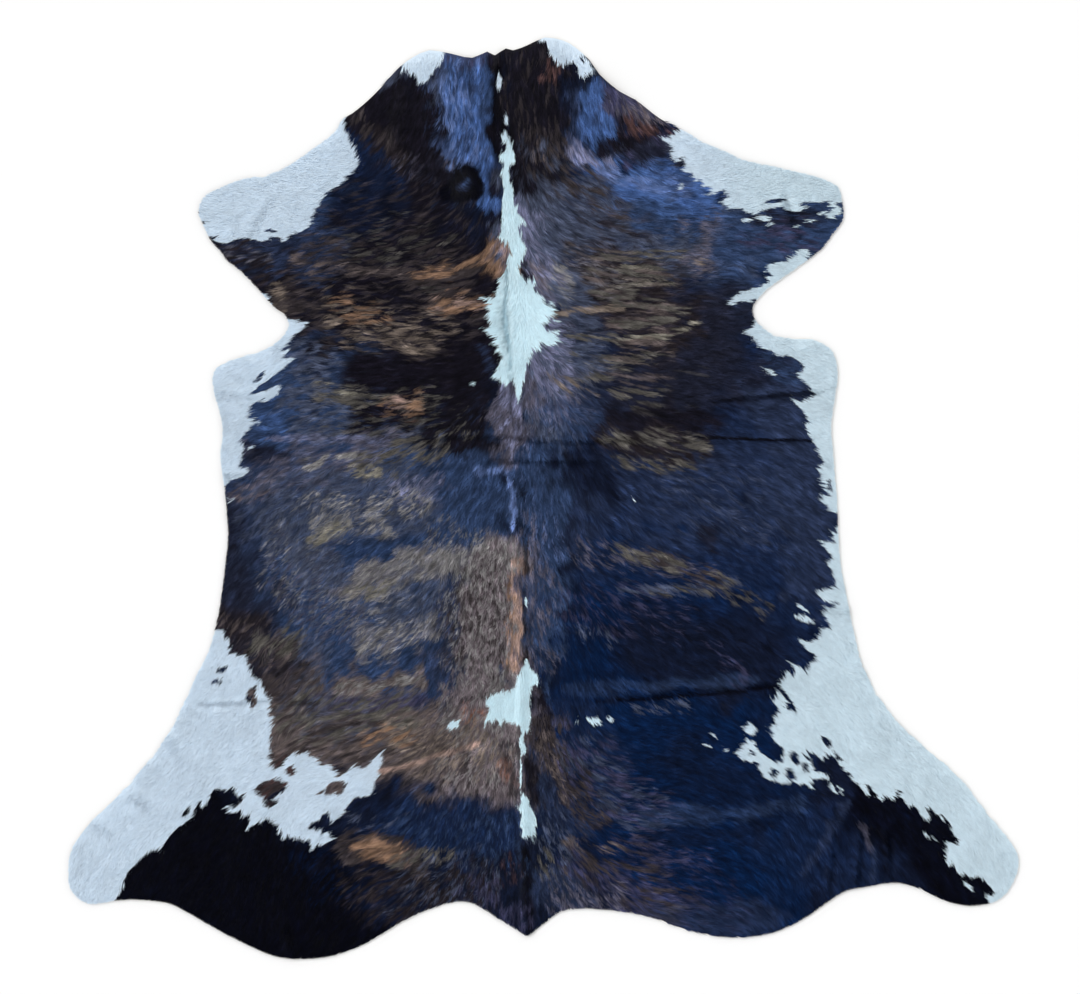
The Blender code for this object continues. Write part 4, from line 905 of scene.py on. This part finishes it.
    ("left tail side, grey", "slate", [(-27, -87), (-13, -84)], 6, 0.14, "speck"),
    ("left tail side, violet", "violet", [(-14, -86), (-6, -92)], 4, 0.4, "mottle"),
    ("left tail side, rust", "rust", [(-7.6, -79), (-7, -84)], 2.0, 0.2, "mottle"),
    ("left rump, islands", "bark", [(-63, -65), (-56, -60)], 5, 0.95, "mottle"),
    ("left rump, islands, rust", "rust", [(-63, -65), (-56, -60)], 4, 0.4, "leaf"),
    ("left rump, island", "brown", [(-47, -64.6), (-44, -63)], 4, 0.8, "mottle"),
    ("left rump, border", "brown", [(-59.5, -57), (-60, -50), (-63, -43)], 3, 0.7, "mottle"),
    # a whorl of black hair
    ("whorl, loop", "jet",
     [(-20.8, 67), (-19.6, 69.4), (-17.2, 71.8), (-15.0, 71.4), (-14.2, 69)], 1.9, 1.0, "wash"),
    ("whorl, end", "jet", [(-14.2, 69), (-15.2, 66.6), (-18, 65.8), (-20.8, 66.6)], 1.8, 1.0, "wash"),
    ("whorl, eye", "steel", [(-17.7, 68.3), (-16.5, 69.7)], 0.4, 0.95, "wash"),
]

# How the washes are laid.
layering = {
    "wander": (0.3, 11 * mm, 0.6),  # of a border: share of the reach, most, and share of that lengthwise
    "clouds": 0.2,  # share of the reach that clouds add or take
    "fade": (1.5, 1.3),  # full within (1.5 - 1) / 1.3 of the reach, and gone at 1.5 / 1.3 of it
    "span": 1.5,  # reaches past the path where it is worked out
    "turn": 2.4,  # radians from one wash's mixture of the strands to the next
}

# How the white hair differs from place to place, in centimetres.
whites = {
    "ragged": 3.5 * mm,  # how far single tufts reach over the border of a patch
    "brighter": 1.04,  # than its tone, under the scene's light
    "spine": (-5, 20),  # aqua white: across and reach
    "neck": (86, 12),  # where that ends, along, and over what length
    "right": (25, 30),  # grey white from here, across, and over what width
}


def linear(tone):
    # A screen's colour as the share of light that it stands for.
    share = np.array(tone) / 255
    return np.where(share <= 0.04045, share / 12.92, ((share + 0.055) / 1.055) ** 2.4)


def evenly(noise):
    # Noise of unit spread as shares from 0 to 1, about equally often.
    return 1 / (1 + np.exp(-1.702 * noise))


def isWhite(x, y):
    # The border is crossed along the hair, so that it breaks into tufts.
    shift = whites["ragged"] * np.clip(readField(borderField, x, y), -2, 2)
    x = x + shift * readField(combX, x, y)
    y = y + shift * readField(combY, x, y)
    white = np.zeros(x.shape, bool)
    for points in patches.values():
        white |= isInside(x, y, np.multiply(points, cm))
    for across, along, length, width, degrees, light in flecks:
        turn = math.radians(degrees)
        u = (x - across * cm) * math.cos(turn) + (y - along * cm) * math.sin(turn)
        v = (y - along * cm) * math.cos(turn) - (x - across * cm) * math.sin(turn)
        white[(2 * u / (length * cm)) ** 2 + (2 * v / (width * cm)) ** 2 < 1] = light
    return white


def darkCoat(x, y, strands):
    # Every wash covers by how near its path is, and its grain lets it through strand by strand.
    colour = np.tile(linear(tones["midnight"]), (x.size, 1))
    cloud = readField(clouds, x, y)
    driftX, driftY = (readField(field, x, y) for field in driftFields)
    wander, most, lengthwise = layering["wander"]
    full, fall = layering["fade"]
    for number, (_, tone, path, reach, cover, kind) in enumerate(washes):
        form, grain, soft = kinds[kind]
        path = np.multiply(path, cm)
        reach *= cm
        span = layering["span"] * reach
        low, high = path.min(0) - span, path.max(0) + span
        near = np.nonzero((x > low[0]) & (x < high[0]) & (y > low[1]) & (y < high[1]))[0]
        drift = min(wander * reach, most)
        placeX = x[near] + drift * driftX[near]
        placeY = y[near] + lengthwise * drift * driftY[near]
        gap = pathDistance(placeX, placeY, path) / reach
        share = cover * smoothStep(full - fall * gap * (1 + layering["clouds"] * cloud[near]))
        turn = layering["turn"] * number
        mixed = math.cos(turn) * strands[form][0][near] + math.sin(turn) * strands[form][1][near]
        threshold = 0.5 + grain * (evenly(mixed) - 0.5)
        amount = np.clip((share - threshold) / (2 * soft) + 0.5, 0, 1)[:, None] * (share > 0)[:, None]
        colour[near] += (linear(tones[tone]) - colour[near]) * amount
    return colour


def whiteCoat(x, y):
    across, reach = whites["spine"]
    along, length = whites["neck"]
    aqua = smoothStep(1.4 - np.abs(x - across * cm) / (reach * cm))
    aqua = (aqua * smoothStep((along * cm - y) / (length * cm)))[:, None]
    pale = linear(tones["white"]) * (1 - aqua) + linear(tones["aqua white"]) * aqua
    across, width = whites["right"]
    pale += (linear(tones["grey white"]) - pale) * smoothStep((x - across * cm) / (width * cm))[:, None]
    return pale * whites["brighter"]


def pigmentAt(x, y, strands):
    colour = darkCoat(x, y, strands)
    white = isWhite(x, y)
    colour[white] = whiteCoat(x, y)[white]
    return colour, white


# The skin: a thin sheet on the creases.
def cutGrid(shape, step):
    # Cuts the flat face into squares, column by column and then row by row.
    for axis, normal in enumerate((Vector((1, 0, 0)), Vector((0, 1, 0)))):
        ahead = list(shape.faces)
        for place in np.arange(hideLow[axis] + step, hideLow[axis] + hideSize[axis], step):
            edges = dict.fromkeys(edge for face in ahead for edge in face.edges)
            verts = dict.fromkeys(vert for face in ahead for vert in face.verts)
            cut = bmesh.ops.bisect_plane(
                shape, geom=[*ahead, *edges, *verts], dist=1e-6, plane_co=normal * place, plane_no=normal
            )
            ahead = [
                item for item in cut["geom"]
                if isinstance(item, bmesh.types.BMFace) and item.calc_center_median()[axis] > place
            ]


def addColours(mesh, colours):
    layer = mesh.color_attributes.new(name="pigment", type="FLOAT_COLOR", domain="POINT")
    filled = np.ones((len(mesh.vertices), 4), np.float32)
    filled[:, :3] = colours
    layer.data.foreach_set("color", filled.ravel())


def makeSkin():
    shape = bmesh.new()
    after = np.roll(outline, -1, axis=0) - np.roll(outline, 1, axis=0)
    inwards = np.stack([-after[:, 1], after[:, 0]], axis=1) / np.linalg.norm(after, axis=1)[:, None]
    rim = [shape.verts.new((*point, 0)) for point in outline + inwards * hide["inset"]]
    shape.faces.new(rim)
    cutGrid(shape, hide["squares"])
    for vert in shape.verts:
        vert.co.z = float(readField(reliefField, np.array([vert.co.x]), np.array([vert.co.y]))[0])
    flat = list(shape.faces)
    for face in flat:
        face.normal_flip()
    raised = bmesh.ops.extrude_face_region(shape, geom=flat)
    for item in raised["geom"]:
        if isinstance(item, bmesh.types.BMVert):
            item.co.z += hide["skin"]
    bmesh.ops.recalc_face_normals(shape, faces=shape.faces)
    mesh = bpy.data.meshes.new("skin")
    shape.to_mesh(mesh)
    shape.free()
    return placed("skin", mesh)


skin = makeSkin()
places = np.empty(len(skin.data.vertices) * 3, np.float32)
skin.data.vertices.foreach_get("co", places)
skinX, skinY = places.reshape(-1, 3)[:, :2].T.astype(float)
plain = {form: np.zeros((2, skinX.size)) for form in strandForms}
skinColours, skinWhite = pigmentAt(skinX, skinY, plain)
# Painted shade: the skin between the locks is darker than the hair, most under dark hair.
addColours(skin.data, skinColours * np.where(skinWhite, *hide["underHairShade"])[:, None])
print("stage: skin,", len(skin.data.polygons), "faces")


# The coat: short locks of hair, combed and laid over each other.
coat = {
    "pitch": 2.45 * mm,  # between roots
    "fromEdge": 1.2 * mm,  # of the outermost roots
    "length": (18 * mm, 27 * mm),
    "width": (1.3 * mm, 2.1 * mm),
    "lift": (1.8 * mm, 3.2 * mm),  # of the tips over the skin
    "liftAtEdge": (0.55, 0.45, 20 * mm),  # share of that at the edge, gain inwards, and over what distance
    "guards": 0.08,  # share of guard hairs
    "guard": (1.25, 0.55, 1.2),  # how much longer, finer and higher they are
    "stray": 9,  # degrees that one lock turns from the next
    "tuftTurn": 12,  # degrees that whole tufts turn
    "bySpine": (-9.0, 17.0),  # shorter hair: across and reach in centimetres
    "behind": (36.0, 20.0),  # where that begins, along, and over what length
    "onBarrel": (-40.0, -14.0, 24.0),  # shorter hair: across, along and reach
    "cutOff": (0.38, 0.75),  # share cut off by the spine, and how much of that on the barrel
    "overhang": (2.5 * mm, 0.72, 6),  # most past the edge, share that a cut leaves of a lock, and most cuts
    "widest": 0.42,  # share of the length where a lock is widest
    "shown": 0.6,  # share of the length where its colour is read
    "shade": (0.3, 0.4),  # how much dark locks differ in brightness, and the spread of each lock's own part
    "whiteShade": (0.022, 0.02),  # how much white locks differ, one by one and in clouds
    # Darker towards each root: painted shade where the locks lie under the ones above; the tips are lighter.
    "rootToTip": ((0.97, 1.0, 1.0, 1.01), (0.62, 0.95, 0.95, 1.15)),  # brightness along white and dark locks
    "strips": ("coatRump", "coatLoins", "coatBarrel", "coatShoulders", "coatNeck"),
}


def rootPlaces():
    # A jittered grid over the hide.
    step = coat["pitch"]
    x, y = np.meshgrid(*(np.arange(low, low + size, step) for low, size in zip(hideLow, hideSize)))
    x = (x + chance.uniform(-0.5, 0.5, x.shape) * step).ravel()
    y = (y + chance.uniform(-0.5, 0.5, y.shape) * step).ravel()
    inside = readField(edgeField, x, y, coarse) > coat["fromEdge"]
    return x[inside], y[inside]


def shortHair(x, y):
    across, reach = coat["bySpine"]
    along, length = coat["behind"]
    bySpine = smoothStep(1.5 - np.abs(x - across * cm) / (reach * cm))
    bySpine *= smoothStep((along * cm - y) / (length * cm))
    return np.maximum(bySpine, coat["cutOff"][1] * nearness(x, y, coat["onBarrel"], 1.7))


rootX, rootY = rootPlaces()
count = rootX.size
guard = chance.random(count) < coat["guards"]
longer, finer, higher = coat["guard"]
short = shortHair(rootX, rootY)
lengths = chance.uniform(*coat["length"], count) * np.where(guard, longer, 1)
lengths *= 1 - whorl["shorter"] * nearness(rootX, rootY, whorl["place"], 1.6)
lengths *= 1 - coat["cutOff"][0] * short
widths = chance.uniform(*coat["width"], count) * np.where(guard, finer, 1)
lifts = chance.uniform(*coat["lift"], count) * np.where(guard, higher, 1)
stray = chance.normal(0, coat["stray"], count) * (1 + short)
stray += coat["tuftTurn"] * readField(tuftField, rootX, rootY)
lay = np.arctan2(readField(combY, rootX, rootY), readField(combX, rootX, rootY)) + np.radians(stray)
overhang, kept, times = coat["overhang"]
for _ in range(times):
    tipX = rootX + lengths * np.cos(lay)
    tipY = rootY + lengths * np.sin(lay)
    lengths[readField(edgeField, tipX, tipY, coarse) < -overhang] *= kept
atEdge, gained, inwards = coat["liftAtEdge"]
lifts *= atEdge + gained * smoothStep(readField(edgeField, rootX, rootY, coarse) / inwards)

# What shows is the outer part of a lock, so its colour is that of the place where it ends up.
shownX = rootX + coat["shown"] * lengths * np.cos(lay)
shownY = rootY + coat["shown"] * lengths * np.sin(lay)
strands = {}
for form, fields in strandFields.items():
    single = strandForms[form][3]
    mixed = [readField(field, shownX, shownY) + chance.normal(0, single, count) for field in fields]
    strands[form] = [one / one.std() for one in mixed]
colours, white = pigmentAt(shownX, shownY, strands)
darkShade, single = coat["shade"]
shade = readField(shadeField, shownX, shownY) + chance.normal(0, single, count)
byLock, byCloud = coat["whiteShade"]
whiteShade = 1 + byLock * shade + byCloud * readField(clouds, shownX, shownY)
colours *= np.where(white, whiteShade, np.exp(darkShade * shade))[:, None]
print("stage: coat planned,", count, "locks,", int(white.sum()), "white")


def lockPoints(chosen):
    # Root, left, right and tip of each lock, as shares of its length, half its width and its lift.
    x, y, turn = rootX[chosen], rootY[chosen], lay[chosen]
    length, half, lift = lengths[chosen], widths[chosen] / 2, lifts[chosen]
    shares = ((0, 0, -0.12), (coat["widest"], 1, 0.5), (coat["widest"], -1, 0.5), (1, 0, 1))
    points = np.empty((x.size, 4, 3), np.float32)
    for number, (along, beside, rise) in enumerate(shares):
        px = x + along * length * np.cos(turn) - beside * half * np.sin(turn)
        py = y + along * length * np.sin(turn) + beside * half * np.cos(turn)
        points[:, number, 0] = px
        points[:, number, 1] = py
        points[:, number, 2] = readField(reliefField, px, py) + hide["skin"] + rise * lift
    return points


def addMap(mesh, name, flat, corners):
    layer = mesh.uv_layers.new(name=name)
    layer.data.foreach_set("uv", flat.reshape(-1, 2)[corners].ravel().astype(np.float32))


def bakeMap(points, chosen):
    # A map named for baking: the strip seen from above, in three parts, one over the other.
    parts = 3
    beside, past = 10 * mm, 40 * mm  # room for the locks that reach out of the strip
    rimX, rimY = 0.04, 0.02  # empty, as shares of a part
    low, high = rootY[chosen].min() - past, rootY[chosen].max() + past
    left = hideLow[0] - beside
    wide = (hideSize[0] + 2 * beside) / parts
    part = ((rootX[chosen] - left) / wide).astype(int)[:, None]
    across = rimX + (1 - 2 * rimX) * ((points[:, :, 0] - left) / wide - part)
    along = rimY + (1 - 2 * rimY) * (points[:, :, 1] - low) / (high - low)
    return np.stack([across, (part + along) / parts], axis=2)


def makeCoat(name, chosen):
    points = lockPoints(chosen)
    size = len(points)
    corners = (np.arange(size)[:, None] * 4 + np.array((0, 2, 3, 0, 3, 1))).ravel()  # two triangles
    mesh = bpy.data.meshes.new(name)
    mesh.vertices.add(size * 4)
    mesh.vertices.foreach_set("co", points.ravel())
    mesh.loops.add(size * 6)
    mesh.loops.foreach_set("vertex_index", corners)
    mesh.polygons.add(size * 2)
    mesh.polygons.foreach_set("loop_start", np.arange(size * 2) * 3)
    mesh.update(calc_edges=True)
    # Painted shade towards the roots, and lighter tips.
    rootToTip = np.where(white[chosen, None], *coat["rootToTip"])
    addColours(mesh, (colours[chosen][:, None, :] * rootToTip[:, :, None]).reshape(-1, 3))
    # Along and across each lock, from a place of its own, so that no two locks have the same hairs.
    start = np.random.default_rng(seeds["hairs"]).uniform(0, 60, (size, 1, 2))
    strandMap = start + np.array(((0.5, 0), (0, coat["widest"]), (1, coat["widest"]), (0.5, 1)))
    addMap(mesh, "strand", strandMap, corners)
    addMap(mesh, "OFBake", bakeMap(points, chosen), corners)
    return placed(name, mesh)


order = np.argsort(rootY, kind="stable")
strips = zip(coat["strips"], np.array_split(order, len(coat["strips"])))
coats = [makeCoat(name, chosen) for name, chosen in strips]
print("stage: coat made,", sum(len(piece.data.polygons) for piece in coats), "triangles")


# The finishes: fine hairs within each lock, and suede under the skin.
hair = {
    "gloss": 0.05,
    "hairs": (5.0, 0.8, 1.0),  # scale of the noise across and along a lock
    "brightness": (0.65, 0.7),  # least, and what the lightest hairs have more
    "roughness": (0.3, 0.25),
    "bump": 0.3 * mm,
}
suede = {
    "gloss": 0.2,
    "grain": 900.0,  # to the metre
    "clouds": 14.0,  # to the metre
    "tones": [(0.3, (0.52, 0.44, 0.34, 1)), (0.7, (0.68, 0.61, 0.5, 1))],
    "roughness": (0.7, 0.2),
    "bump": 0.5 * mm,
}


def coatMaterial():
    material, shader, wire = newMaterial("cowHair", {"Specular IOR Level": hair["gloss"]})
    pigment = wire.make("ShaderNodeAttribute", {"attribute_name": "pigment"}, output="Color")
    place = wire.make("ShaderNodeUVMap", {"uv_map": "strand"})
    long = wire.make("ShaderNodeMapping", inputs={"Vector": place, "Scale": hair["hairs"]})
    hairs = wire.make(
        "ShaderNodeTexNoise", {"noise_dimensions": "2D"}, {"Vector": long, "Scale": 1.0, "Detail": 2.0}
    )
    least, more = hair["brightness"]
    colour = wire.make(
        "ShaderNodeMix", {"data_type": "RGBA", "blend_type": "MULTIPLY"},
        {0: 1.0, 6: pigment, 7: hairs * more + least}, output=2,
    )
    joinTo(shader, "Base Color", colour)
    smooth, rougher = hair["roughness"]
    joinTo(shader, "Roughness", hairs * rougher + smooth)
    bump = wire.make("ShaderNodeBump", inputs={"Height": hairs, "Strength": 0.4, "Distance": hair["bump"]})
    joinTo(shader, "Normal", bump)
    return material


def skinMaterial():
    material, shader, wire = newMaterial("tannedSkin", {"Specular IOR Level": suede["gloss"]})
    pigment = wire.make("ShaderNodeAttribute", {"attribute_name": "pigment"}, output="Color")
    place = wire.make("ShaderNodeTexCoord", output="Object")
    grain = wire.make("ShaderNodeTexNoise", inputs={
        "Vector": place, "Scale": suede["grain"], "Detail": 3.0, "Roughness": 0.6,
    })
    cloudy = wire.make("ShaderNodeTexNoise", inputs={
        "Vector": place, "Scale": suede["clouds"], "Detail": 4.0,
    })
    bare = wire.make(
        "ShaderNodeValToRGB", {"stops": suede["tones"]}, {"Fac": cloudy * 0.7 + grain * 0.3}, output="Color"
    )
    facing = wire.make("ShaderNodeNewGeometry", output="True Normal")
    upwards = wire.make("ShaderNodeSeparateXYZ", inputs={"Vector": facing}, output="Z")
    onTop = wire.make("ShaderNodeMath", {"operation": "GREATER_THAN"}, {0: upwards, 1: 0.3})
    colour = wire.make("ShaderNodeMix", {"data_type": "RGBA"}, {0: onTop, 6: bare, 7: pigment}, output=2)
    joinTo(shader, "Base Color", colour)
    smooth, rougher = suede["roughness"]
    joinTo(shader, "Roughness", grain * rougher + smooth)
    bump = wire.make("ShaderNodeBump", inputs={"Height": grain, "Strength": 0.5, "Distance": suede["bump"]})
    joinTo(shader, "Normal", bump)
    return material


skin.data.materials.append(skinMaterial())
hairMaterial = coatMaterial()
for piece in coats:
    piece.data.materials.append(hairMaterial)
print("stage: finishes")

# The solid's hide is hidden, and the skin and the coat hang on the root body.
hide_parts("hide")
for piece in [skin, *coats]:
    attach(piece, "root")


# The floor, the light and the camera.
room = {
    "floor": 8,  # metres from its middle to each side
    "below": 0.2 * mm,  # the hide
    "floorShade": 0.82,
    "tent": ((0.0, 0.9), (0.6, 1), (0.82, 0.26), (1.0, 0.12)),  # height and shade: dim above, for deep blacks
    "tentLight": 1.65,
    "lamp": 1.2,
    "lampWidth": 25,  # degrees
    "lampFrom": (-1.0, 0.7, 1.0),  # the upper left
}
photograph = {
    "width": 1080,  # pixels
    "pixel": 2.2 * mm,  # on the hide
    "middle": (-3.5, 0.5),  # pixels across and along from the middle of the hide
    "sensor": 36,
    "lens": 70,
}


def makeFloor():
    shape = bmesh.new()
    bmesh.ops.create_grid(shape, x_segments=1, y_segments=1, size=room["floor"])
    bmesh.ops.translate(shape, verts=shape.verts, vec=(0, 0, -room["below"]))
    mesh = bpy.data.meshes.new("floor")
    shape.to_mesh(mesh)
    shape.free()
    shade = room["floorShade"]
    material, _, _ = newMaterial("paleFloor", {
        "Base Color": (shade, shade, shade, 1), "Roughness": 0.9, "Specular IOR Level": 0.0,
    })
    mesh.materials.append(material)
    placed("floor", mesh)


def makeLight():
    # A soft tent with a wide lamp.
    world = bpy.data.worlds.new("tent")
    world.use_nodes = True
    wire = Wire(world.node_tree)
    ray = wire.make("ShaderNodeTexCoord", output="Generated")
    height = wire.make("ShaderNodeSeparateXYZ", inputs={"Vector": ray}, output="Z")
    stops = [(at, (shade, shade, shade, 1)) for at, shade in room["tent"]]
    tent = wire.make("ShaderNodeValToRGB", {"stops": stops}, {"Fac": height}, output="Color")
    background = world.node_tree.nodes["Background"]
    joinTo(background, "Color", tent)
    background.inputs["Strength"].default_value = room["tentLight"]
    bpy.context.scene.world = world
    lamp = bpy.data.lights.new("wideLamp", "SUN")
    lamp.energy = room["lamp"]
    lamp.angle = math.radians(room["lampWidth"])
    holder = placed("wideLamp", lamp)
    holder.rotation_euler = Vector(room["lampFrom"]).to_track_quat("Z", "Y").to_euler()


def makeCamera():
    # Straight above, where the photograph's width fills the view.
    view = bpy.data.cameras.new("above")
    view.sensor_width = photograph["sensor"]
    view.lens = photograph["lens"]
    above = placed("above", view)
    pixel = photograph["pixel"]
    across, along = photograph["middle"]
    away = photograph["width"] * pixel * view.lens / view.sensor_width
    above.location = (across * pixel, along * pixel, away)
    bpy.context.scene.camera = above


makeFloor()
makeLight()
makeCamera()
bpy.context.scene.view_settings.view_transform = "Standard"
print("stage: floor, light and camera")
